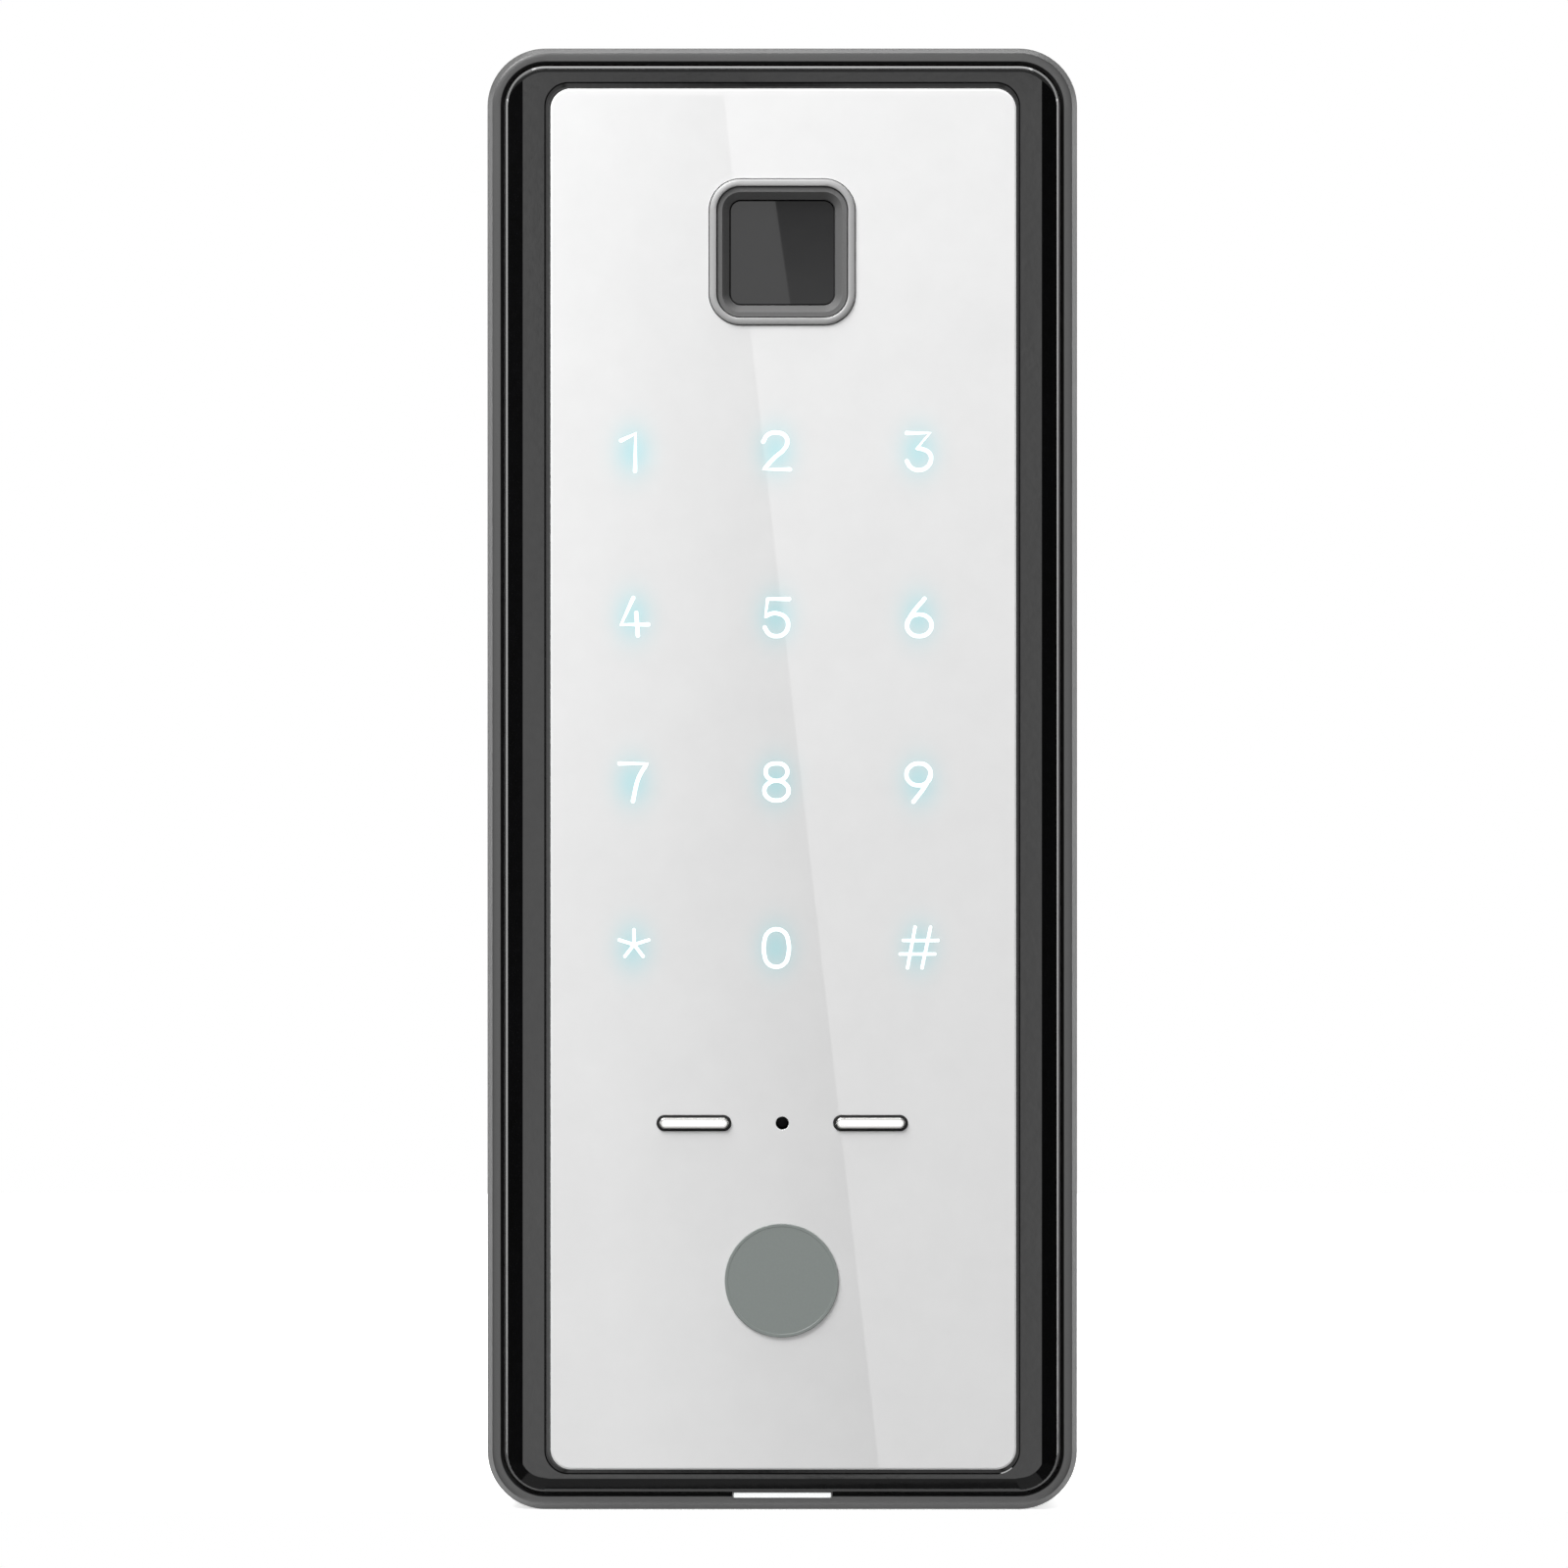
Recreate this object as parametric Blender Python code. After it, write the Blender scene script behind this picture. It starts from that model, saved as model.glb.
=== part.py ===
"""Outside unit of a digital door lock: fingerprint reader and touch keypad on a slim wall case.

The unit stands upright, +Z up, with its face towards -Y. The origin is the middle of the flat
back that lies on the door. Sizes below are millimetres; "depth" is how far a point stands in
front of the door. Meshes are made in metres.
"""

import math

import bmesh
import bpy
from mathutils import Vector

MM = 0.001
ARC_STEPS = 5        # points along a quarter of a large corner
ROUND = 20           # sides of a visible round piece
PLAIN_ROUND = 12     # sides of a hidden round piece
GAP = 0.3            # clearance between hidden pieces that rest on each other
FIT = 0.1            # clearance round pieces whose joint line shows

# the whole unit
WIDTH = 72.0
HEIGHT = 178.4
CORNER = 7.1

# depths of the main layers
REAR_FLOOR = 2.0
REAR_RIM = 5.0
PLATE_BACK, PLATE_FRONT = 2.4, 3.6
BOARD_BACK, BOARD_FRONT = 9.3, 10.9
CEILING = 17.6       # underside of the front moulding's floor
POCKET = 19.0        # floor that carries the touch sheet
SHEET_BACK, SHEET_FRONT = 19.3, 19.9
GLASS_BACK, GLASS_FRONT = 20.2, 22.0
FRAME_FRONT = 19.5
BORDER = 21.7        # flat border round the glass

# insets from the outer outline
SEAT = 3.0           # ledge inside the frame
SKIRT = 3.4          # tongues that pass inside the frame
CAVITY = 5.2         # inner wall of both mouldings
GROOVE = 1.7         # inner edge of the frame's front
CASE_EDGE = 2.15     # outer edge of the front moulding's flange

# the flat border and the glass, each by its side, top and bottom inset
BORDER_INSETS = (4.37, 3.11, 3.95)
GLASS_INSETS = (7.47, 4.78, 4.94)
GLASS_CORNER = 2.5

# fingerprint reader
READER_Z = 64.15
RING_SIZE, RING_CORNER, RING_WALL = 17.86, 3.85, 0.92
WELL_STEP = 0.72
WINDOW_SIZE, WINDOW_CORNER = 12.7, 1.3
RING_FRONT, WELL_FRONT, WINDOW_FRONT = 22.4, 22.0, 20.9

# touch keys: three columns and four rows
KEY_COLUMNS = (-18.2, -0.8, 16.6)
KEY_ROWS = (39.95, 19.7, -0.3, -20.5)
KEY_WINDOW = 8.5

# contact bars for an emergency battery, and the reset pinhole between them
BAR_Z, BAR_X = -41.93, 10.75
BAR_LENGTH, BAR_HEIGHT, BAR_FRONT = 8.4, 1.3, 22.5
SEAL_LENGTH, SEAL_HEIGHT = 9.0, 1.84
PINHOLE = 1.6

# badge and light slit
BADGE_Z, BADGE_SIZE = -61.26, 13.84
SLIT_WIDTH, SLIT_HEIGHT, SLIT_Z = 11.85, 0.7, -87.52
SLIT_FOOT = 19.5     # length of the light guide's foot, back to its lamp on the board

# plates and boards, across and up, and the pieces on them
PLATE_SIZE = (56.0, 146.0)
BOARD_SIZE = (60.0, 142.0)
SHROUD_SIZE, SHROUD_FRONT = (46.0, 74.0), 16.7
LAMP_SIZE = (3.5, 2.8)
CHIP_SIZE, CHIP_Z = 10.0, -34.0
SOCKET_SIZE, PLUG_SIZE, SOCKET_Z = (20.0, 6.0), (18.0, 3.8), 40.0
BUZZER_SIZE, CAPACITOR_SIZE = 12.0, 6.3
ROUND_PARTS_X, ROUND_PARTS_Z = 16.0, -58.0
RIBBON_WIDTH, RIBBON_THICK, RIBBON_BEND = 8.0, 0.25, 2.2

# what passes through the back
POST_Z = 60.0        # the two through-door bolts are 120 mm apart
POST_SIZE, POST_FLANGE, POST_BORE = 8.0, 12.0, 4.2
OUTLET_Z, OUTLET_LENGTH, OUTLET_HEIGHT = 22.0, 16.0, 10.0
CASE_SCREWS = ((-25.5, 79.0), (25.5, 79.0), (25.5, -79.0), (-25.5, -79.0))
BOARD_SCREWS = ((-26.5, 66.0), (26.5, 66.0), (26.5, -66.0), (-26.5, -66.0))
TAMPER_X, TAMPER_Z, TAMPER_PROUD = 12.0, -12.0, 1.5
SPRING_WIRE, SPRING_SIZE, SPRING_TURNS = 0.5, 4.6, 3.0
SPRING_BACK, SPRING_FRONT = 3.6, 7.2

FINISHES = {         # sRGB colour, metallic, roughness
    "satin_grey": ((0.42, 0.43, 0.43), 0.8, 0.45),
    "gloss_black": ((0.02, 0.02, 0.022), 0.0, 0.12),
    "matt_black": ((0.05, 0.05, 0.05), 0.0, 0.6),
    "white_glass": ((0.86, 0.86, 0.87), 0.0, 0.06),
    "silver": ((0.72, 0.72, 0.72), 1.0, 0.3),
    "grey_plastic": ((0.40, 0.40, 0.40), 0.0, 0.4),
    "dark_window": ((0.04, 0.04, 0.05), 0.0, 0.1),
    "badge_grey": ((0.52, 0.54, 0.53), 0.2, 0.4),
    "lit_white": ((0.95, 0.97, 0.97), 0.0, 0.3),
    "nickel": ((0.80, 0.79, 0.76), 1.0, 0.2),
    "rubber": ((0.06, 0.06, 0.06), 0.0, 0.85),
    "steel": ((0.60, 0.61, 0.62), 1.0, 0.35),
    "board_green": ((0.03, 0.22, 0.12), 0.0, 0.4),
    "cream": ((0.85, 0.82, 0.74), 0.0, 0.5),
    "amber": ((0.65, 0.40, 0.10), 0.0, 0.4),
}


def clear_scene():
    for obj in list(bpy.data.objects):
        bpy.data.objects.remove(obj)


def rounded(depth, width, height, radius, middle=0.0, steps=ARC_STEPS):
    """Outline of a rounded rectangle at a depth, as points from the right edge upwards and round."""
    points = []
    corners = ((1, 1, 0), (-1, 1, 90), (-1, -1, 180), (1, -1, 270))
    for side, up, start in corners:
        x = side * (width / 2 - radius)
        z = middle + up * (height / 2 - radius)
        for step in range(steps + 1):
            turn = math.radians(start + 90 * step / steps)
            points.append((x + radius * math.cos(turn), -depth, z + radius * math.sin(turn)))
    return points


def inset(depth, amount, least_radius=1.0):
    """The unit's outline, drawn in by this much on every side."""
    radius = max(CORNER - amount, least_radius)
    return rounded(depth, WIDTH - 2 * amount, HEIGHT - 2 * amount, radius)


def bordered(depth, insets, radius, grow=0.0):
    """A rounded rectangle given by its own side, top and bottom inset, and grown by a margin."""
    side, top, bottom = insets
    width = WIDTH - 2 * side + 2 * grow
    height = HEIGHT - top - bottom + 2 * grow
    return rounded(depth, width, height, radius + grow, middle=(bottom - top) / 2)


def disc(depth, diameter, sides=PLAIN_ROUND):
    return [
        (diameter / 2 * math.cos(turn), -depth, diameter / 2 * math.sin(turn))
        for turn in (2 * math.pi * k / sides for k in range(sides))
    ]


def pill(depth, length, height, steps=4):
    return rounded(depth, length, height, height / 2 - 0.001, steps=steps)


def slab(depth, width, height):
    """Plain rectangle, for boards and chips."""
    return [(x * width / 2, -depth, z * height / 2) for x, z in ((1, -1), (1, 1), (-1, 1), (-1, -1))]


def moved(section, across, up):
    return [(x + across, y, z + up) for x, y, z in section]


def skin(bm, sections, ring=False):
    """Walls through a row of matching outlines. A ring closes on itself, anything else gets flat ends."""
    loops = [[bm.verts.new(Vector(point) * MM) for point in section] for section in sections]
    pairs = list(zip(loops, loops[1:]))
    if ring:
        pairs.append((loops[-1], loops[0]))
    faces = []
    for near, far in pairs:
        for k in range(len(near)):
            after = (k + 1) % len(near)
            faces.append(bm.faces.new((near[k], near[after], far[after], far[k])))
    if not ring:
        faces.append(bm.faces.new(loops[0]))
        faces.append(bm.faces.new(loops[-1]))
    bmesh.ops.recalc_face_normals(bm, faces=faces)


def mesh_object(name, shapes, at=(0.0, 0.0)):
    """An object holding one closed shape for each entry of shapes: (sections, is it a ring)."""
    bm = bmesh.new()
    for sections, ring in shapes:
        skin(bm, sections, ring)
    mesh = bpy.data.meshes.new(name)
    bm.to_mesh(mesh)
    bm.free()
    obj = bpy.data.objects.new(name, mesh)
    obj.location = Vector((at[0], 0.0, at[1])) * MM
    bpy.context.scene.collection.objects.link(obj)
    return obj


def paint(obj, finish):
    colour, metallic, roughness = FINISHES[finish]
    material = bpy.data.materials.new(obj.name + "_" + finish)
    material.use_nodes = True
    shader = material.node_tree.nodes["Principled BSDF"]
    shader.inputs["Base Color"].default_value = (*(value ** 2.2 for value in colour), 1.0)
    shader.inputs["Metallic"].default_value = metallic
    shader.inputs["Roughness"].default_value = roughness
    material.diffuse_color = (*colour, 1.0)
    obj.data.materials.append(material)


def solid(name, finish, sections, at=(0.0, 0.0), ring=False):
    obj = mesh_object(name, [(sections, ring)], at)
    obj.data.shade_smooth()
    obj.data.set_sharp_from_angle(angle=math.radians(35))
    paint(obj, finish)
    return obj


def change(target, operation, label, shapes, at=(0.0, 0.0), ring=False):
    """Joins simple solids to the target, or cuts them from it. Each shape is a row of sections."""
    helper = mesh_object(f"{target.name}_{label}", [(sections, ring) for sections in shapes], at)
    helper.hide_render = True
    helper.display_type = "WIRE"
    modifier = target.modifiers.new(label, "BOOLEAN")
    modifier.operation = operation
    modifier.object = helper
    modifier.solver = "EXACT"


def cut(target, label, shapes, at=(0.0, 0.0), ring=False):
    change(target, "DIFFERENCE", label, shapes, at, ring)


def join(target, label, shapes, at=(0.0, 0.0)):
    change(target, "UNION", label, shapes, at)


def round_rod(start, end, diameter, sides=PLAIN_ROUND):
    return [disc(start, diameter, sides), disc(end, diameter, sides)]


def at_each(places, sections):
    """The same solid at each of several places."""
    return [[moved(section, x, z) for section in sections] for x, z in places]


def key_places():
    return [(x, z) for z in KEY_ROWS for x in KEY_COLUMNS]


# ---- housing -------------------------------------------------------------------------------


def make_outer_frame():
    frame = solid("outer_frame", "satin_grey", [
        inset(REAR_RIM + GAP, 0.0),
        inset(18.7, 0.0),
        inset(FRAME_FRONT - 0.1, 0.62),
        inset(FRAME_FRONT, 0.9),
        inset(FRAME_FRONT, 1.4),
        inset(FRAME_FRONT - 0.4, GROOVE),
        inset(17.0, GROOVE),
        inset(17.0, SEAT),
        inset(REAR_RIM + GAP, SEAT),
    ], ring=True)
    # notch that the light guide stands in
    notch = [slab(12.3, SLIT_WIDTH + 0.3, 2.4), slab(FRAME_FRONT + 1, SLIT_WIDTH + 0.3, 2.4)]
    cut(frame, "slit_notch", [notch], at=(0.0, SLIT_Z - SLIT_HEIGHT / 2 - 0.12 + 1.2))


def make_front_case():
    case = solid("front_case", "gloss_black", [
        bordered(POCKET, GLASS_INSETS, GLASS_CORNER, GAP),
        bordered(BORDER, GLASS_INSETS, GLASS_CORNER, GAP),
        bordered(BORDER, BORDER_INSETS, 3.6),
        inset(20.7, CASE_EDGE + 0.36),
        inset(20.35, CASE_EDGE),
        inset(17.0 + GAP, CASE_EDGE),
        inset(17.0 + GAP, SKIRT),
        inset(8.3, SKIRT),
        inset(8.3, CAVITY),
        inset(CEILING, CAVITY),
    ])
    cut_holes(case, POCKET + 1, CEILING - 1, RING_SIZE - 1.6, BAR_LENGTH + 0.4, BAR_HEIGHT + 0.4)
    key_hole = round_rod(CEILING - 1, POCKET + 1, KEY_WINDOW)
    cut(case, "key_windows", at_each(key_places(), key_hole))
    join(case, "screw_bosses", at_each(CASE_SCREWS, round_rod(8.3, CEILING + 0.5, 8.0))
         + at_each(BOARD_SCREWS, round_rod(BOARD_FRONT + GAP, CEILING + 0.5, 6.0)))
    cut(case, "screw_bores", at_each(CASE_SCREWS, round_rod(7.0, 16.5, 3.3))
        + at_each(BOARD_SCREWS, round_rod(10.0, 16.5, 2.7)))
    # slot in the skirt for the foot of the light guide
    slot = [slab(12.3, SLIT_WIDTH + 0.6, 6.0), slab(14.4, SLIT_WIDTH + 0.6, 6.0)]
    cut(case, "slit_slot", [slot], at=(0.0, SLIT_Z + 3.0))


def cut_holes(target, front, back, reader, bar_length, bar_height):
    """Openings for the reader, the two contact bars and the reset pin, through one flat layer."""
    corner = RING_CORNER - (RING_SIZE - reader) / 2
    cut(target, "reader_hole", [[
        rounded(back, reader, reader, corner), rounded(front, reader, reader, corner),
    ]], at=(0.0, READER_Z))
    bar = [pill(back, bar_length, bar_height), pill(front, bar_length, bar_height)]
    cut(target, "bar_holes", at_each(((-BAR_X, BAR_Z), (BAR_X, BAR_Z)), bar)
        + at_each(((0.0, BAR_Z),), round_rod(back, front, PINHOLE)))


def make_glass():
    panel = solid("glass_panel", "white_glass", [
        bordered(GLASS_BACK, GLASS_INSETS, GLASS_CORNER),
        bordered(GLASS_FRONT - 0.2, GLASS_INSETS, GLASS_CORNER),
        bordered(GLASS_FRONT, GLASS_INSETS, GLASS_CORNER, -0.25),
    ])
    cut_holes(panel, GLASS_FRONT + 1, GLASS_BACK - 1, RING_SIZE + 2 * FIT,
              SEAL_LENGTH + 2 * FIT, SEAL_HEIGHT + 2 * FIT)

    sheet = solid("touch_sheet", "board_green", [
        bordered(SHEET_BACK, GLASS_INSETS, GLASS_CORNER, -1.8),
        bordered(SHEET_FRONT, GLASS_INSETS, GLASS_CORNER, -1.8),
    ])
    cut_holes(sheet, SHEET_FRONT + 1, SHEET_BACK - 1, RING_SIZE + 2 * GAP,
              SEAL_LENGTH + 2 * GAP, SEAL_HEIGHT + 2 * GAP)
    cut(sheet, "key_windows", at_each(key_places(), round_rod(SHEET_BACK - 1, SHEET_FRONT + 1, 7.5)))

    solid("glass_tape", "matt_black", [
        bordered(SHEET_BACK, GLASS_INSETS, GLASS_CORNER, -0.2),
        bordered(SHEET_FRONT, GLASS_INSETS, GLASS_CORNER, -0.2),
        bordered(SHEET_FRONT, GLASS_INSETS, GLASS_CORNER, -1.5),
        bordered(SHEET_BACK, GLASS_INSETS, GLASS_CORNER, -1.5),
    ], ring=True)

    solid("badge_disc", "badge_grey", [
        disc(GLASS_FRONT + FIT, BADGE_SIZE, 2 * ROUND),
        disc(GLASS_FRONT + 0.3, BADGE_SIZE, 2 * ROUND),
    ], at=(-0.08, BADGE_Z))


def make_rear_case():
    case = solid("rear_case", "matt_black", [
        inset(0.0, 0.8),
        inset(0.3, 0.5),
        inset(REAR_RIM, 0.5),
        inset(REAR_RIM, SKIRT),
        inset(8.0, SKIRT),
        inset(8.0, CAVITY),
        inset(REAR_FLOOR, CAVITY),
    ])
    join(case, "screw_bosses", at_each(CASE_SCREWS, round_rod(1.0, 8.0, 9.0))
         + at_each(((TAMPER_X, TAMPER_Z),), round_rod(1.0, REAR_FLOOR + 0.3, 11.0)))
    cut(case, "screw_seats", at_each(CASE_SCREWS, round_rod(-1.0, 3.5, 6.4)))
    cut(case, "screw_holes", at_each(CASE_SCREWS, round_rod(3.0, 9.0, 3.5))
        + at_each(((0.0, POST_Z), (0.0, -POST_Z)), round_rod(-1.0, 3.0, POST_SIZE + 0.6, ROUND))
        + at_each(((TAMPER_X, TAMPER_Z),), round_rod(-1.0, 3.0, 5.3, ROUND)))
    outlet = [pill(-1.0, OUTLET_LENGTH + 0.6, OUTLET_HEIGHT + 0.6, ARC_STEPS),
              pill(3.0, OUTLET_LENGTH + 0.6, OUTLET_HEIGHT + 0.6, ARC_STEPS)]
    cut(case, "outlet", [outlet], at=(0.0, OUTLET_Z))
    seat = [pill(-1.0, OUTLET_LENGTH + 4.6, OUTLET_HEIGHT + 4.6, ARC_STEPS),
            pill(1.0, OUTLET_LENGTH + 4.6, OUTLET_HEIGHT + 4.6, ARC_STEPS)]
    cut(case, "outlet_seat", [seat], at=(0.0, OUTLET_Z))
    groove = [inset(-1.0, 1.8), inset(1.2, 1.8), inset(1.2, 4.8), inset(-1.0, 4.8)]
    cut(case, "gasket_groove", [groove], ring=True)

    solid("rear_gasket", "rubber", [
        inset(0.0, 2.2), inset(0.25, 1.95), inset(0.9, 1.95),
        inset(0.9, 4.65), inset(0.25, 4.65), inset(0.0, 4.4),
    ], ring=True)

    def oval(depth, grow):
        return pill(depth, OUTLET_LENGTH + grow, OUTLET_HEIGHT + grow, ARC_STEPS)

    solid("cable_grommet", "rubber", [
        oval(0.1, 4.0), oval(0.7, 4.0), oval(0.7, 0.0), oval(REAR_FLOOR + GAP, 0.0),
        oval(REAR_FLOOR + GAP, 1.8), oval(REAR_FLOOR + 1.2, 1.2),
        oval(REAR_FLOOR + 1.2, -4.0), oval(0.1, -4.0),
    ], at=(0.0, OUTLET_Z), ring=True)

    for number, place in enumerate(CASE_SCREWS, 1):
        solid(f"case_screw_{number}", "steel", [
            disc(1.3, 4.6), disc(1.7, 5.6), disc(3.2, 5.6), disc(3.2, 3.0), disc(15.4, 3.0),
        ], at=place)


# ---- fastening to the door -----------------------------------------------------------------


def through(low, high, width, height, corner):
    """A rounded block for cutting a window through a flat plate."""
    return [rounded(low, width, height, corner), rounded(high, width, height, corner)]


def make_chassis():
    low, high = PLATE_BACK - 1, PLATE_FRONT + 1
    plate = solid("chassis_plate", "steel", through(PLATE_BACK, PLATE_FRONT, *PLATE_SIZE, 5.0))
    posts = at_each(((0.0, POST_Z), (0.0, -POST_Z)), round_rod(low, high, POST_SIZE + 0.6, ROUND))
    cut(plate, "round_holes", posts + at_each(((TAMPER_X, TAMPER_Z),), round_rod(low, high, 12.0)))
    cut(plate, "cable_window", [through(low, high, 24.0, 36.0, 3.0)], at=(0.0, OUTLET_Z + 9.0))
    lighten = through(low, high, 10.0, 40.0, 4.0)
    cut(plate, "lightening", at_each(((-18.0, -32.0), (-20.5, 38.0), (20.5, 38.0)), lighten))

    for label, z in (("upper", POST_Z), ("lower", -POST_Z)):
        solid(f"mounting_post_{label}", "steel", [
            disc(7.6, POST_BORE, ROUND), disc(0.0, POST_BORE, ROUND),
            disc(0.0, POST_SIZE - 0.8, ROUND), disc(0.4, POST_SIZE, ROUND),
            disc(PLATE_FRONT + 0.2, POST_SIZE, ROUND),
            disc(PLATE_FRONT + 0.2, POST_FLANGE, ROUND),
            disc(PLATE_FRONT + 1.6, POST_FLANGE, ROUND),
            disc(PLATE_FRONT + 1.6, POST_SIZE, ROUND),
            disc(8.8, POST_SIZE, ROUND),
        ], at=(0.0, z))


# ---- fingerprint reader --------------------------------------------------------------------


def square(depth, size, corner):
    return rounded(depth, size, size, corner, steps=ARC_STEPS)


def make_reader():
    place = (0.0, READER_Z)
    inner = RING_SIZE - 2 * RING_WALL
    inner_corner = RING_CORNER - RING_WALL
    solid("fingerprint_ring", "silver", [
        square(POCKET + GAP, RING_SIZE, RING_CORNER),
        square(RING_FRONT - 0.2, RING_SIZE, RING_CORNER),
        square(RING_FRONT, RING_SIZE - 0.4, RING_CORNER - 0.2),
        square(RING_FRONT, inner + 0.3, inner_corner + 0.15),
        square(RING_FRONT - 0.15, inner, inner_corner),
        square(POCKET + GAP, inner, inner_corner),
    ], at=place, ring=True)

    well = inner - 2 * FIT
    well_corner = inner_corner - FIT
    slope_top = inner - 2 * WELL_STEP
    mouth = WINDOW_SIZE + 2 * FIT
    solid("fingerprint_well", "grey_plastic", [
        square(16.1, 22.0, 4.0),
        square(CEILING - GAP, 22.0, 4.0),
        square(CEILING - GAP, well, well_corner),
        square(WELL_FRONT, well, well_corner),
        square(WELL_FRONT, slope_top, inner_corner - WELL_STEP),
        square(WINDOW_FRONT, mouth, WINDOW_CORNER + FIT),
        square(19.6, mouth, WINDOW_CORNER + FIT),
        square(19.6, 14.4, 1.8),
        square(16.1, 14.4, 1.8),
    ], at=place, ring=True)

    solid("sensor_window", "dark_window", [
        square(18.7, 14.0, 1.6),
        square(19.4, 14.0, 1.6),
        square(19.4, WINDOW_SIZE, WINDOW_CORNER),
        square(WINDOW_FRONT - 0.12, WINDOW_SIZE, WINDOW_CORNER),
        square(WINDOW_FRONT, WINDOW_SIZE - 0.24, WINDOW_CORNER - 0.12),
    ], at=place)
    solid("sensor_seal", "rubber", [
        square(17.8, 14.0, 1.6), square(18.5, 14.0, 1.6),
        square(18.5, 11.4, 1.0), square(17.8, 11.4, 1.0),
    ], at=place, ring=True)
    solid("sensor_board", "board_green", [square(16.4, 13.8, 1.6), square(17.5, 13.8, 1.6)], at=place)

    # ribbon from the reader's board down to its socket on the main board, in an S of two bends
    bend, top, low = RIBBON_BEND, 15.9, 12.4
    start = READER_Z - 6.0
    arc = [math.radians(15 * k) for k in range(7)]
    route = [(READER_Z + 4.0, top)]
    route += [(start - bend * math.sin(a), top - bend * (1 - math.cos(a))) for a in arc]
    route += [(start - bend * (2 - math.cos(a)), top - bend - (top - bend - low) * math.sin(a))
              for a in arc[1:]]
    route.append((start - bend - 5.4, low))
    ribbon("sensor_flex", "amber", route, RIBBON_WIDTH, RIBBON_THICK)
    solid("flex_connector", "cream", [slab(BOARD_FRONT + FIT, 12.0, 3.0), slab(low - GAP, 12.0, 3.0)],
          at=(0.0, start - bend - 3.9))


def ribbon(name, finish, route, width, thickness):
    """A flat flexible circuit: a strip along a route of (height, depth) points, given its thickness."""
    bm = bmesh.new()
    rows = [[bm.verts.new(Vector((x, -depth, z)) * MM) for x in (-width / 2, width / 2)]
            for z, depth in route]
    for near, far in zip(rows, rows[1:]):
        bm.faces.new((near[0], near[1], far[1], far[0]))
    bmesh.ops.recalc_face_normals(bm, faces=bm.faces)
    mesh = bpy.data.meshes.new(name)
    bm.to_mesh(mesh)
    bm.free()
    strip = bpy.data.objects.new(name, mesh)
    bpy.context.scene.collection.objects.link(strip)
    wall = strip.modifiers.new("thickness", "SOLIDIFY")
    wall.thickness = thickness * MM
    wall.offset = 0.0
    paint(strip, finish)


# ---- emergency contacts, reset and light ---------------------------------------------------


def make_contacts():
    for label, x in (("left", -BAR_X), ("right", BAR_X)):
        place = (x, BAR_Z)
        solid(f"power_contact_{label}", "nickel", [
            pill(16.3, BAR_LENGTH + 2.0, BAR_HEIGHT + 2.0),
            pill(CEILING - GAP, BAR_LENGTH + 2.0, BAR_HEIGHT + 2.0),
            pill(CEILING - GAP, BAR_LENGTH, BAR_HEIGHT),
            pill(BAR_FRONT - 0.12, BAR_LENGTH, BAR_HEIGHT),
            pill(BAR_FRONT, BAR_LENGTH - 0.24, BAR_HEIGHT - 0.24),
        ], at=place)
        solid(f"contact_seal_{label}", "rubber", [
            pill(POCKET + GAP, SEAL_LENGTH, SEAL_HEIGHT),
            pill(BAR_FRONT - 0.2, SEAL_LENGTH, SEAL_HEIGHT),
            pill(BAR_FRONT - 0.2, BAR_LENGTH + FIT, BAR_HEIGHT + FIT),
            pill(POCKET + GAP, BAR_LENGTH + FIT, BAR_HEIGHT + FIT),
        ], at=place, ring=True)
        solid(f"contact_pin_{label}", "nickel", [
            disc(BOARD_FRONT + FIT, 2.4), disc(13.6, 2.4), disc(13.6, 1.4), disc(15.8, 1.4),
            disc(16.1, 0.8),
        ], at=place)


def make_reset():
    place = (0.0, BAR_Z)
    body = solid("reset_switch", "matt_black", [slab(BOARD_FRONT + FIT, 6.0, 6.0), slab(14.4, 6.0, 6.0)],
                 at=place)
    cut(body, "button_bore", [round_rod(12.6, 16.0, 3.6)], at=place)
    solid("reset_button", "cream", [
        disc(13.1, 3.0), disc(14.9, 3.0), disc(14.9, 1.2), disc(18.4, 1.2),
    ], at=place)


def make_light_bar():
    """An L of clear plastic: its edge shows in the groove, its foot reaches back over a lamp."""
    under, over = SLIT_Z - SLIT_HEIGHT / 2, SLIT_Z + SLIT_HEIGHT / 2
    back, front = 12.6, 14.1
    profile = [(under, back), (under, FRAME_FRONT), (over, FRAME_FRONT), (over, front),
               (under + SLIT_FOOT, front), (under + SLIT_FOOT, back)]
    solid("light_bar", "lit_white", [
        [(x, -depth, z) for z, depth in profile] for x in (-SLIT_WIDTH / 2, SLIT_WIDTH / 2)
    ])
    lamp("indicator_led", (0.0, under + SLIT_FOOT - 1.1))


# ---- keypad light and the main board -------------------------------------------------------


def lamp(name, at):
    """A surface mounted lamp: a lead frame body with a slightly smaller lens on it."""
    width, height = LAMP_SIZE
    solid(name, "cream", [
        slab(BOARD_FRONT + FIT, width, height), slab(BOARD_FRONT + 0.9, width, height),
        slab(BOARD_FRONT + 1.2, width - 0.6, height - 0.6),
    ], at=at)


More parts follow.
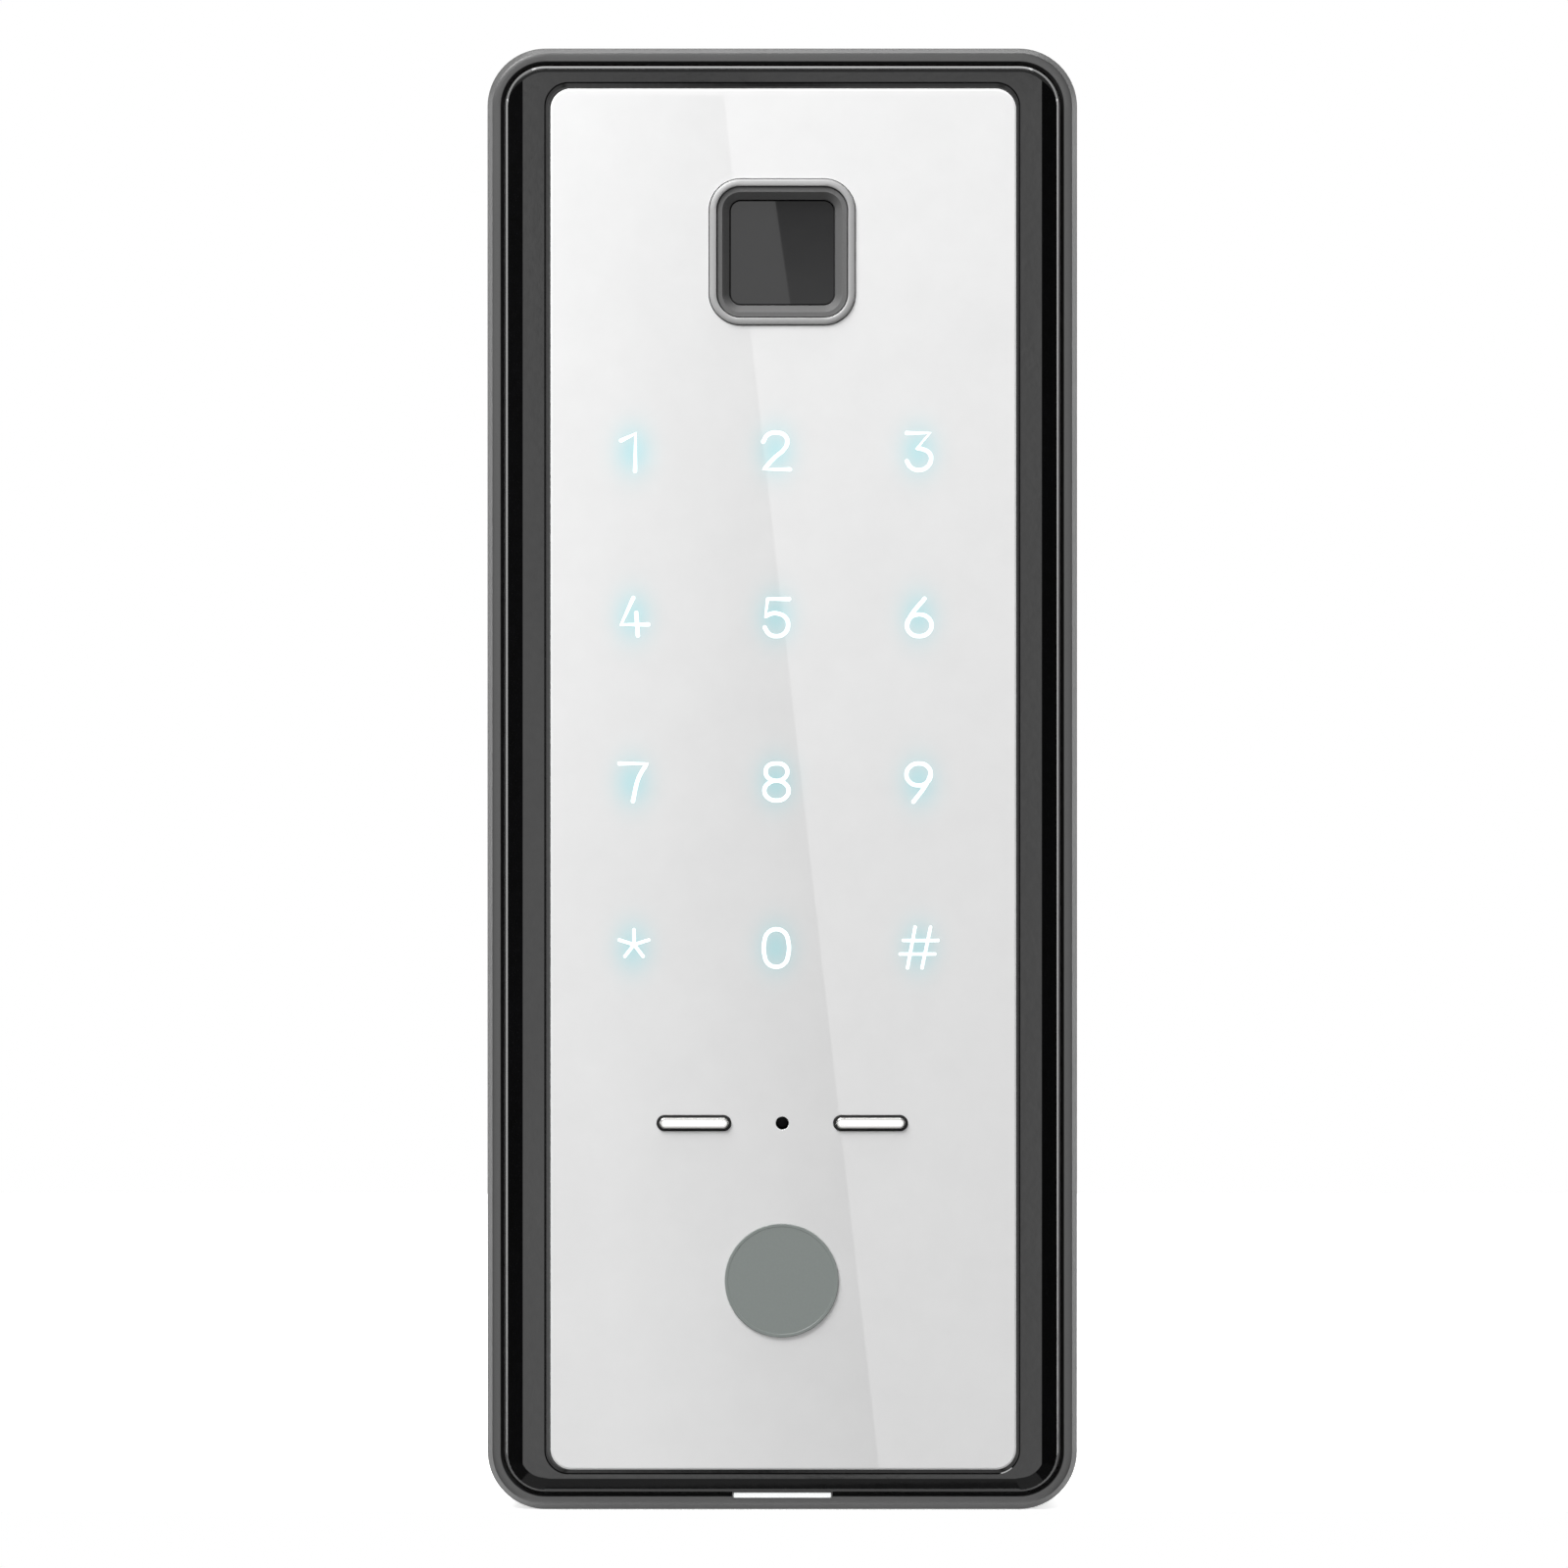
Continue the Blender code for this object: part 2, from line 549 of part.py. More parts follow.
def make_keypad_light():
    middle = ((KEY_COLUMNS[0] + KEY_COLUMNS[2]) / 2, (KEY_ROWS[0] + KEY_ROWS[3]) / 2)
    solid("light_diffuser", "lit_white", through(CEILING - 0.6, CEILING - 0.2, *SHROUD_SIZE, 2.0),
          at=middle)
    shroud = solid("led_shroud", "matt_black",
                   through(BOARD_FRONT + GAP, SHROUD_FRONT, *SHROUD_SIZE, 2.0), at=middle)
    cell = [disc(BOARD_FRONT - 1, 5.6), disc(BOARD_FRONT + 1.8, 5.6), disc(SHROUD_FRONT + 1, 9.0)]
    cut(shroud, "light_cells", at_each(key_places(), cell))
    for number, place in enumerate(key_places(), 1):
        lamp(f"key_led_{number}", place)


def make_main_board():
    board = solid("main_board", "board_green", through(BOARD_BACK, BOARD_FRONT, *BOARD_SIZE, 2.0))
    cut(board, "screw_holes", at_each(BOARD_SCREWS, round_rod(BOARD_BACK - 1, BOARD_FRONT + 1, 3.0)))
    behind = BOARD_BACK - FIT
    for number, place in enumerate(BOARD_SCREWS, 1):
        solid(f"board_screw_{number}", "steel", [
            disc(7.6, 3.8), disc(8.0, 4.8), disc(behind, 4.8), disc(behind, 2.4), disc(15.4, 2.4),
        ], at=place)
    solid("controller_chip", "matt_black", [
        slab(behind - 1.2, CHIP_SIZE, CHIP_SIZE), slab(behind, CHIP_SIZE, CHIP_SIZE),
    ], at=(0.0, CHIP_Z))

    place = (ROUND_PARTS_X, ROUND_PARTS_Z)
    buzzer = solid("buzzer", "matt_black", round_rod(BOARD_FRONT + FIT, 16.0, BUZZER_SIZE, ROUND), at=place)
    cut(buzzer, "sound_hole", [round_rod(15.0, 17.0, 2.0)], at=place)
    solid("capacitor", "steel", [
        disc(BOARD_FRONT + FIT, CAPACITOR_SIZE, ROUND), disc(16.2, CAPACITOR_SIZE, ROUND),
        disc(16.5, CAPACITOR_SIZE - 0.6, ROUND),
    ], at=(-ROUND_PARTS_X, ROUND_PARTS_Z))

    socket_back = 4.4
    socket = solid("cable_socket", "cream", [slab(socket_back, *SOCKET_SIZE), slab(behind, *SOCKET_SIZE)],
                   at=(0.0, SOCKET_Z))
    cut(socket, "plug_space", [[slab(socket_back - 1, *PLUG_SIZE), slab(behind - 1, *PLUG_SIZE)]],
        at=(0.0, SOCKET_Z))


# ---- rear tamper switch --------------------------------------------------------------------


def make_tamper():
    place = (TAMPER_X, TAMPER_Z)
    solid("tamper_plunger", "cream", [
        disc(-TAMPER_PROUD, 4.0, ROUND), disc(0.4 - TAMPER_PROUD, 4.8, ROUND), disc(2.7, 4.8, ROUND),
        disc(2.7, 8.0, ROUND), disc(3.5, 8.0, ROUND), disc(3.5, 2.4, ROUND), disc(5.0, 2.4, ROUND),
    ], at=place)
    solid("tamper_switch", "matt_black", [slab(SPRING_FRONT + FIT, 6.2, 6.2), slab(9.2, 6.2, 6.2)],
          at=place)

    steps = 14
    count = int(SPRING_TURNS * steps) + 1
    low, high = SPRING_BACK + SPRING_WIRE / 2, SPRING_FRONT - SPRING_WIRE / 2
    radius = (SPRING_SIZE - SPRING_WIRE) / 2
    curve = bpy.data.curves.new("tamper_spring", "CURVE")
    curve.dimensions = "3D"
    curve.bevel_depth = SPRING_WIRE / 2 * MM
    curve.bevel_resolution = 1
    curve.use_fill_caps = True
    spline = curve.splines.new("POLY")
    spline.points.add(count - 1)
    for k, point in enumerate(spline.points):
        turn = 2 * math.pi * k / steps
        depth = low + (high - low) * k / (count - 1)
        point.co = (radius * math.cos(turn) * MM, -depth * MM, radius * math.sin(turn) * MM, 1.0)
    spring = bpy.data.objects.new("tamper_spring", curve)
    spring.location = Vector((TAMPER_X, 0.0, TAMPER_Z)) * MM
    bpy.context.scene.collection.objects.link(spring)
    paint(spring, "steel")


def main():
    clear_scene()
    make_outer_frame()
    make_front_case()
    make_glass()
    make_rear_case()
    make_chassis()
    make_reader()
    make_contacts()
    make_reset()
    make_light_bar()
    make_keypad_light()
    make_main_board()
    make_tamper()


main()
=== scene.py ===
import math

import bmesh
import bpy
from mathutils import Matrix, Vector


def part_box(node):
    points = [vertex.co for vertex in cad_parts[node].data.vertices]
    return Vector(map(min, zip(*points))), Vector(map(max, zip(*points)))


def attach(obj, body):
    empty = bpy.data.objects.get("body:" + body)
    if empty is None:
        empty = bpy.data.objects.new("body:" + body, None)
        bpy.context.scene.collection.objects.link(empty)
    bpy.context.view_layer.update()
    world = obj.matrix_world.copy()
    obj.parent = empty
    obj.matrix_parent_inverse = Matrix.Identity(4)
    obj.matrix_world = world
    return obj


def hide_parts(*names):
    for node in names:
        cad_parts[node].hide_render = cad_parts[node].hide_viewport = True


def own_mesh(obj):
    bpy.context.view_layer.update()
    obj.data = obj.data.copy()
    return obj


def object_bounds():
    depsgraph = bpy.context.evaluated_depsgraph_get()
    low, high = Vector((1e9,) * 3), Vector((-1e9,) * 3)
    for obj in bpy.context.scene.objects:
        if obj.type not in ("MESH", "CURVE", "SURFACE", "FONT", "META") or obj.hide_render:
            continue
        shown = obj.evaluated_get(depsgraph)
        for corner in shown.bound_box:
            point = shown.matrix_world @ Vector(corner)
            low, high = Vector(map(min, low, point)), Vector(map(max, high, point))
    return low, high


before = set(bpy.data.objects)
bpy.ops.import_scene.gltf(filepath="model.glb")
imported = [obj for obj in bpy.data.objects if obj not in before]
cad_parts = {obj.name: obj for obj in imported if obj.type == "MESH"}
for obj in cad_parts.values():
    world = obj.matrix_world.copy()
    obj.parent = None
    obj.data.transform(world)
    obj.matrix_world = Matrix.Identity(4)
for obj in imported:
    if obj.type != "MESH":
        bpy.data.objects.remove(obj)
cadLow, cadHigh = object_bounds()
scene = bpy.context.scene
scene.view_settings.view_transform = "Standard"

# Shapes are built in millimetres: x across, z up, and depth is how far a point stands in front of the door.


def outlineOf(node):
    # left, bottom, right and top of a CAD part, in millimetres
    low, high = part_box(node)
    return [low.x * 1000, low.z * 1000, high.x * 1000, high.z * 1000]


def middleOf(node):
    left, bottom, right, top = outlineOf(node)
    return (left + right) / 2, (bottom + top) / 2


def depthOf(node):
    # back and front of a CAD part
    low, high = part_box(node)
    return -high.y * 1000, -low.y * 1000


def drawnIn(outline, side, top=None, bottom=None):
    left, base, right, head = outline
    top = side if top is None else top
    bottom = side if bottom is None else bottom
    return [left + side, base + bottom, right - side, head - top]


def blockAt(middle, width, height):
    x, z = middle
    return [x - width / 2, z - height / 2, x + width / 2, z + height / 2]


def roundedSection(bm, outline, radius, depth, steps):
    # one flat rounded rectangle, facing the viewer
    left, bottom, right, top = outline
    places = ((left, bottom), (right, bottom), (right, top), (left, top))
    corners = [bm.verts.new((x, -depth, z)) for x, z in places]
    known = set(bm.faces)
    bm.faces.new(corners)
    bmesh.ops.bevel(bm, geom=corners, offset=radius, offset_type="OFFSET", segments=steps,
                    profile=0.5, affect="VERTICES", material=-1)
    return next(face for face in bm.faces if face not in known)


def wallBetween(bm, near, far):
    # joins two sections, each corner to its like
    first, second = list(near.verts), list(far.verts)
    count = len(first)
    turn = min(range(count), key=lambda shift: sum(
        (first[k].co - second[(k + shift) % count].co).length for k in range(0, count, 5)))
    second = second[turn:] + second[:turn]
    return [bm.faces.new((first[k - 1], first[k], second[k], second[k - 1])) for k in range(count)]


def loft(sections, ring=False, steps=12, into=None):
    # walls through rounded rectangles given as (outline, corner radius, depth)
    bm = into or bmesh.new()
    caps = [roundedSection(bm, outline, radius, depth, steps) for outline, radius, depth in sections]
    pairs = list(zip(caps, caps[1:]))
    if ring:
        pairs.append((caps[-1], caps[0]))
    walls = []
    for near, far in pairs:
        walls += wallBetween(bm, near, far)
    spare = caps if ring else caps[1:-1]
    kept = [] if ring else [caps[0], caps[-1]]
    bmesh.ops.delete(bm, geom=spare, context="FACES_ONLY")
    bmesh.ops.recalc_face_normals(bm, faces=walls + kept)
    return bm


def turned(middle, profile, steps=48, into=None):
    # a solid of revolution from (radius, depth) points, about an axis that runs front to back
    bm = into or bmesh.new()
    x, z = middle
    known = set(bm.verts)
    points = [bm.verts.new((x + radius, -depth, z)) for radius, depth in profile]
    edges = [bm.edges.new(pair) for pair in zip(points, points[1:])]
    bmesh.ops.spin(bm, geom=points + edges, cent=(x, 0, z), axis=(0, 1, 0), dvec=(0, 0, 0),
                   angle=2 * math.pi, steps=steps, use_merge=True)
    fresh = [vertex for vertex in bm.verts if vertex not in known]
    bmesh.ops.remove_doubles(bm, verts=fresh, dist=1e-4)
    faces = [face for face in bm.faces if not known.intersection(face.verts)]
    bmesh.ops.recalc_face_normals(bm, faces=faces)
    return bm


def looseObject(bm, name):
    mesh = bpy.data.meshes.new(name)
    bm.to_mesh(mesh)
    bm.free()
    obj = bpy.data.objects.new(name, mesh)
    scene.collection.objects.link(obj)
    return obj


def carve(bm, tool, how="DIFFERENCE"):
    # cuts or joins two closed shapes and gives the result
    base, helper = looseObject(bm, "base"), looseObject(tool, "tool")
    modifier = base.modifiers.new("carve", "BOOLEAN")
    modifier.operation = how
    modifier.object = helper
    modifier.solver = "EXACT"
    bpy.context.view_layer.update()
    result = bmesh.new()
    result.from_object(base, bpy.context.evaluated_depsgraph_get())
    for obj in (base, helper):
        mesh = obj.data
        bpy.data.objects.remove(obj)
        bpy.data.meshes.remove(mesh)
    bmesh.ops.remove_doubles(result, verts=result.verts, dist=1e-4)
    return result


def sharpEdges(bm, degrees):
    limit = math.radians(degrees)
    return [edge for edge in bm.edges
            if len(edge.link_faces) == 2 and edge.calc_face_angle(0.0) > limit]


def soften(bm, offset, degrees=35.0, segments=2):
    # a small round on every edge sharper than this
    bmesh.ops.bevel(bm, geom=sharpEdges(bm, degrees), offset=offset, offset_type="OFFSET",
                    segments=segments, profile=0.5, affect="EDGES", material=-1,
                    clamp_overlap=True)
    return bm


def finishPiece(bm, name, finish, nodes=(), body="housing", creaseDegrees=24.0):
    # turns millimetres into metres and hands the piece to its CAD body
    bmesh.ops.remove_doubles(bm, verts=bm.verts, dist=1e-4)
    bmesh.ops.scale(bm, vec=(0.001, 0.001, 0.001), verts=bm.verts)
    for face in bm.faces:
        face.smooth = True
    for edge in sharpEdges(bm, creaseDegrees):
        edge.smooth = False
    piece = looseObject(bm, name)
    piece.data.materials.append(finishes[finish])
    weights = piece.modifiers.new("faceWeights", "WEIGHTED_NORMAL")
    weights.keep_sharp = True
    weights.weight = 100
    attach(piece, body)
    if nodes:
        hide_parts(*nodes)
    return piece


def linear(hexColour):
    # sRGB hex to the linear values that shaders use
    values = [int(hexColour[k:k + 2], 16) / 255 for k in (1, 3, 5)]
    return [v / 12.92 if v <= 0.04045 else ((v + 0.055) / 1.055) ** 2.4 for v in values] + [1.0]


def addNode(tree, kind, sockets=None, **settings):
    node = tree.nodes.new("ShaderNode" + kind)
    for name, value in settings.items():
        setattr(node, name, value)
    for name, value in (sockets or {}).items():
        if isinstance(value, bpy.types.NodeSocket):
            tree.links.new(value, node.inputs[name])
        else:
            node.inputs[name].default_value = value
    return node


def grainedFinish(name, look):
    # colour, sheen and bump of one surface, all from grain of a real size in millimetres
    finish = bpy.data.materials.new(name)
    finish.use_nodes = True
    tree = finish.node_tree
    shader = tree.nodes["Principled BSDF"]
    place = addNode(tree, "TexCoord").outputs["Object"]
    drawn = addNode(tree, "Mapping", {"Vector": place, "Scale": look.get("drawn", (1, 1, 1))})
    grain = addNode(tree, "TexNoise", {
        "Vector": drawn.outputs["Vector"], "Scale": 1000 / look["grainMm"],
        "Detail": look.get("detail", 3.0), "Roughness": 0.55})
    cloud = addNode(tree, "TexNoise", {
        "Vector": place, "Scale": 1000 / look.get("cloudMm", 14.0), "Detail": 2.0})
    both = addNode(tree, "Mix", {"Factor": look.get("cloudShare", 0.4), "A": grain.outputs["Fac"],
                                 "B": cloud.outputs["Fac"]}, data_type="FLOAT")
    shade = addNode(tree, "MapRange", {"Value": both.outputs[0], "From Min": 0.3, "From Max": 0.7})
    colours = addNode(tree, "Mix", {"Factor": shade.outputs[0]}, data_type="RGBA")
    colours.inputs[6].default_value = linear(look["dark"])
    colours.inputs[7].default_value = linear(look["light"])
    tree.links.new(colours.outputs[2], shader.inputs["Base Color"])
    rough = look["roughness"]
    spread = look.get("roughSpread", 0.05)
    sheen = addNode(tree, "MapRange", {"Value": both.outputs[0], "From Min": 0.3, "From Max": 0.7,
                                       "To Min": rough - spread, "To Max": rough + spread})
    tree.links.new(sheen.outputs[0], shader.inputs["Roughness"])
    bump = addNode(tree, "Bump", {"Height": grain.outputs["Fac"], "Strength": look.get("bump", 0.3),
                                  "Distance": look["grainMm"] * 0.001 * 0.25})
    tree.links.new(bump.outputs[0], shader.inputs["Normal"])
    shader.inputs["Metallic"].default_value = look.get("metallic", 0.0)
    if "ior" in look:
        shader.inputs["IOR"].default_value = look["ior"]
    if "coat" in look:
        shader.inputs["Coat Weight"].default_value = look["coat"]
        shader.inputs["Coat Roughness"].default_value = look.get("coatRoughness", 0.05)
    if "glow" in look:
        shader.inputs["Emission Color"].default_value = linear(look["glowColour"])
        shader.inputs["Emission Strength"].default_value = look["glow"]
    return finish


looks = {
    # zinc die casting under satin grey metal lacquer: a soft sheen with fine flake
    "satinZincCasting": dict(dark="#5e5e5e", light="#656565", metallic=0.85, roughness=0.36,
                             grainMm=0.16, bump=0.05, cloudMm=20.0),
    # piano black ABS, polished in the mould: nearly mirror smooth, faintly hazed
    "pianoBlackAbs": dict(dark="#070707", light="#0b0b0c", roughness=0.07, roughSpread=0.02,
                          grainMm=1.2, bump=0.015, ior=1.5),
    # spark eroded black ABS of the back: fine pebble grain that kills the gloss
    "texturedBlackAbs": dict(dark="#1d1d1e", light="#2a2a2b", roughness=0.55, grainMm=0.55,
                             bump=0.5, ior=1.5),
    # nitrile rubber, matt, with a dusty bloom
    "nitrileRubber": dict(dark="#161616", light="#232322", roughness=0.78, grainMm=0.35,
                          bump=0.35, ior=1.5),
    # satin chromed ring: pale, soft highlights, faint turning haze
    "satinChrome": dict(dark="#adadad", light="#b6b6b6", metallic=0.30, roughness=0.55, grainMm=0.2,
                        bump=0.04),
    # mid grey ABS round the reader, lightly textured
    "greyMouldedAbs": dict(dark="#646464", light="#6c6c6c", roughness=0.5, grainMm=0.3,
                           bump=0.15, ior=1.5),
    # smoked polycarbonate lens: glossy and nearly black
    "smokedPolycarbonate": dict(dark="#161617", light="#1b1b1c", roughness=0.008, roughSpread=0.003,
                                grainMm=2.0, bump=0.0, ior=1.52),
    # bright nickel plate, with the fine lengthwise polish lines of a strip
    "brightNickel": dict(dark="#f0efed", light="#f8f7f5", metallic=1.0, roughness=0.12,
                         roughSpread=0.02, grainMm=0.18, drawn=(0.08, 1, 1), bump=0.008),
    # satin grey enamel of the badge
    "greyEnamel": dict(dark="#888f8c", light="#8c9390", roughness=0.35, grainMm=0.3, bump=0.05,
                       ior=1.5),
    # frosted acrylic light guide, lit from its foot
    "frostedAcrylic": dict(dark="#eef4f4", light="#fbffff", roughness=0.35, grainMm=0.2, bump=0.1,
                           glow=0.52, glowColour="#ffffff"),
    # opal sheet behind the legends, with a faint painted glow standing in for the key lamps' light through
    # it
    "opalSheet": dict(dark="#e8edee", light="#f6f9f9", roughness=0.5, grainMm=0.3, bump=0.08,
                      glow=0.2, glowColour="#dff4f7"),
    # bright zinc on steel: a mottled blue grey
    "zincPlatedSteel": dict(dark="#8e9297", light="#b4b8bd", metallic=1.0, roughness=0.34,
                            roughSpread=0.08, grainMm=0.8, bump=0.1, cloudMm=5.0),
    # green solder mask over copper tracks
    "solderMask": dict(dark="#0c3a24", light="#17603c", roughness=0.32, grainMm=1.1, bump=0.25,
                       ior=1.5, detail=0.0),
    # moulded epoxy of chips and switches
    "mouldedEpoxy": dict(dark="#121213", light="#1c1c1e", roughness=0.6, grainMm=0.2, bump=0.3),
    # cream PBT of sockets, lamps and the plunger
    "creamPbt": dict(dark="#cfc8b4", light="#ddd7c6", roughness=0.45, grainMm=0.3, bump=0.12),
    # amber polyimide film with copper showing through
    "polyimideFilm": dict(dark="#8c5512", light="#b97c22", roughness=0.28, grainMm=0.7,
                          drawn=(1, 1, 0.08), bump=0.1, ior=1.6),
    # drawn stainless spring wire
    "springWire": dict(dark="#a9abac", light="#c4c6c7", metallic=1.0, roughness=0.24, grainMm=0.15,
                       bump=0.08),
    # legends cleared out of the paint, with white lamps behind them
    "litLegend": dict(dark="#f4ffff", light="#ffffff", roughness=0.2, grainMm=0.5, bump=0.0,
                      glow=0.9, glowColour="#f2ffff"),
}
finishes = {name: grainedFinish(name, look) for name, look in looks.items()}
print("finishes made:", len(finishes))

studio = dict(
    lens=200.0, sensor=36.0, viewWidthMm=191.52, acrossMm=0.21, upMm=-0.63, edgeDepthMm=18.7,
    keyPlace=(-0.25, -0.30, 0.45), keyTarget=(0, 0, 0.02), keySize=0.34, keyWatts=3.85,
    topPlace=(0.0, -0.04, 1.10), topSize=(0.8, 0.30), topWatts=6.2,
    cornerPlace=(0.80, 0.03, 0.80), cornerSize=(0.2, 1.3), cornerWatts=3.75,
    backPlace=(0.45, 0.95, 0.55), backSize=0.5, backWatts=4.0,
    stripAcross=1.1, stripBack={-1: 0.03, 1: 0.05}, stripUp=0.05, stripSize=(0.2, 0.6), stripWatts=2.4,
    # the floor starts just under the front edge, so that the glass looks out over it
    floorReach=0.6, floorStart=-0.0213, floorEnd=0.8, floorGlow=0.6,
)

distance = studio["viewWidthMm"] / 1000 * studio["lens"] / studio["sensor"]
camera = bpy.data.cameras.new("camera")
camera.lens = studio["lens"]
camera.sensor_width = studio["sensor"]
camera.clip_start = 0.05
camera.clip_end = 20.0
cameraObject = bpy.data.objects.new("camera", camera)
cameraObject.location = (studio["acrossMm"] / 1000, -studio["edgeDepthMm"] / 1000 - distance,
                         studio["upMm"] / 1000)
cameraObject.rotation_euler = (math.pi / 2, 0, 0)
scene.collection.objects.link(cameraObject)
scene.camera = cameraObject


def areaLight(name, place, target, size, watts):
    lamp = bpy.data.lights.new(name, "AREA")
    lamp.shape = "RECTANGLE"
    lamp.size, lamp.size_y = size
    lamp.energy = watts
    obj = bpy.data.objects.new(name, lamp)
    obj.location = place
    obj.rotation_euler = (Vector(target) - Vector(place)).to_track_quat("-Z", "Y").to_euler()
    obj.visible_camera = False
    scene.collection.objects.link(obj)
    return obj


areaLight("keyLight", studio["keyPlace"], studio["keyTarget"], (studio["keySize"],) * 2,
          studio["keyWatts"])
areaLight("topLight", studio["topPlace"], (0, studio["topPlace"][1], 0), studio["topSize"],
          studio["topWatts"])
areaLight("backLight", studio["backPlace"], (0, 0, 0), (studio["backSize"],) * 2,
          studio["backWatts"])
cornerAcross, cornerBack, cornerUp = studio["cornerPlace"]
for side in (-1, 1):
    areaLight("cornerLight", (side * cornerAcross, cornerBack, cornerUp), (0, 0, 0),
              studio["cornerSize"], studio["cornerWatts"])
    areaLight("stripLight", (side * studio["stripAcross"], studio["stripBack"][side], studio["stripUp"]),
              (0, 0, studio["stripUp"]), studio["stripSize"], studio["stripWatts"])

# surroundings: bright beside and behind, dark in a belt round the front, white where the camera looks
world = bpy.data.worlds.new("studioWorld")
scene.world = world
world.use_nodes = True
tree = world.node_tree
tree.nodes.clear()
direction = addNode(tree, "SeparateXYZ", {"Vector": addNode(tree, "TexCoord").outputs["Generated"]})
belt = addNode(tree, "ValToRGB", {"Fac": addNode(tree, "MapRange", {
    "Value": direction.outputs["Y"], "From Min": 1.0, "From Max": -1.0}).outputs[0]})
stops = ((0.0, 0.15), (0.50, 0.15), (0.55, 0.22), (0.62, 0.10), (0.70, 0.015), (0.86, 0.015),
         (0.94, 0.80), (1.0, 0.90))
ramp = belt.color_ramp
while len(ramp.elements) < len(stops):
    ramp.elements.new(0.5)
for element, (place, level) in zip(ramp.elements, stops):
    element.position = place
    element.color = (level, level, level, 1)
surround = addNode(tree, "Background", {"Color": belt.outputs["Color"], "Strength": 1.0})
plain = addNode(tree, "Background", {"Color": (1, 1, 1, 1), "Strength": 1.0})
seen = addNode(tree, "LightPath").outputs["Is Camera Ray"]
mixed = addNode(tree, "MixShader", {0: seen, 1: surround.outputs[0], 2: plain.outputs[0]})
addNode(tree, "OutputWorld", {"Surface": mixed.outputs[0]})


def stagePlate(name, corners, paint, seen=True):
    bm = bmesh.new()
    bm.faces.new([bm.verts.new(corner) for corner in corners])
    plate = looseObject(bm, name)
    plate.data.materials.append(paint)
    plate.visible_camera = seen
    return plate


floorPaint = grainedFinish("paleFloorPaint", dict(
    dark="#f4f4f4", light="#f7f7f7", roughness=0.8, grainMm=3.0, bump=0.02,
    glow=studio["floorGlow"], glowColour="#ffffff"))
reach, floorStart, floorEnd = studio["floorReach"], studio["floorStart"], studio["floorEnd"]
stagePlate("floor", [(-reach, floorStart, cadLow.z), (reach, floorStart, cadLow.z),
                     (reach, floorEnd, cadLow.z), (-reach, floorEnd, cadLow.z)], floorPaint)

# a lit card behind the camera: the glass reflects its slanted edge
card = dict(
    depth=-1.60, half=0.11, low=-0.235, high=0.222,
    edgeTop=(-7.2, 83.2), edgeBottom=(11.5, -82.0), scale=2.49, halfWidthMm=30.0,
    leftOuter=2.2, leftInner=0.0, rightInner=1.5, rightOuter=1.4, border=1.95, borderTopMm=83.6,
)


def clearPaint(name):
    paint = bpy.data.materials.new(name)
    paint.use_nodes = True
    paint.node_tree.nodes.clear()
    return paint, paint.node_tree


def glowOnly(tree, strength):
    glow = addNode(tree, "Emission", {"Strength": strength})
    addNode(tree, "OutputMaterial", {"Surface": glow.outputs[0]})


def cardFinish():
    paint, tree = clearPaint("litCardFabric")
    place = addNode(tree, "SeparateXYZ", {"Vector": addNode(tree, "TexCoord").outputs["Object"]})
    grow = card["scale"] / 1000
    (topX, topZ), (lowX, lowZ) = card["edgeTop"], card["edgeBottom"]
    slope = (lowX - topX) / (lowZ - topZ)
    # distance to the right of the slanted edge
    line = addNode(tree, "Math", {0: place.outputs["Z"], 1: slope, 2: (topX - slope * topZ) * grow},
                   operation="MULTIPLY_ADD")
    past = addNode(tree, "Math", {0: place.outputs["X"], 1: line.outputs[0]}, operation="SUBTRACT")
    width = card["halfWidthMm"] * grow
    left = addNode(tree, "MapRange", {"Value": past.outputs[0], "From Min": -width, "From Max": 0.0,
                                      "To Min": card["leftOuter"], "To Max": card["leftInner"]})
    right = addNode(tree, "MapRange", {"Value": past.outputs[0], "From Min": 0.0, "From Max": width,
                                       "To Min": card["rightInner"], "To Max": card["rightOuter"]})
    side = addNode(tree, "Math", {0: past.outputs[0], 1: 0.0}, operation="GREATER_THAN")
    level = addNode(tree, "Mix", {"Factor": side.outputs[0], "A": left.outputs[0],
                                  "B": right.outputs[0]}, data_type="FLOAT")
    beyond = []
    for axis, limit in (("X", width), ("Z", card["borderTopMm"] * grow)):
        away = addNode(tree, "Math", {0: place.outputs[axis]}, operation="ABSOLUTE")
        beyond.append(addNode(tree, "Math", {0: away.outputs[0], 1: limit}, operation="GREATER_THAN"))
    outside = addNode(tree, "Math", {0: beyond[0].outputs[0], 1: beyond[1].outputs[0]},
                      operation="MAXIMUM")
    final = addNode(tree, "Mix", {"Factor": outside.outputs[0], "A": level.outputs[0],
                                  "B": card["border"]}, data_type="FLOAT")
    glowOnly(tree, final.outputs[0])
    return paint


def uprightCard(name, outline, paint):
    stagePlate(name, [(x, card["depth"], z) for x, z in outline], paint, seen=False)


half = card["half"]
uprightCard("frontCard", ((-half, card["low"]), (half, card["low"]), (half, card["high"]),
                          (-half, card["high"])), cardFinish())

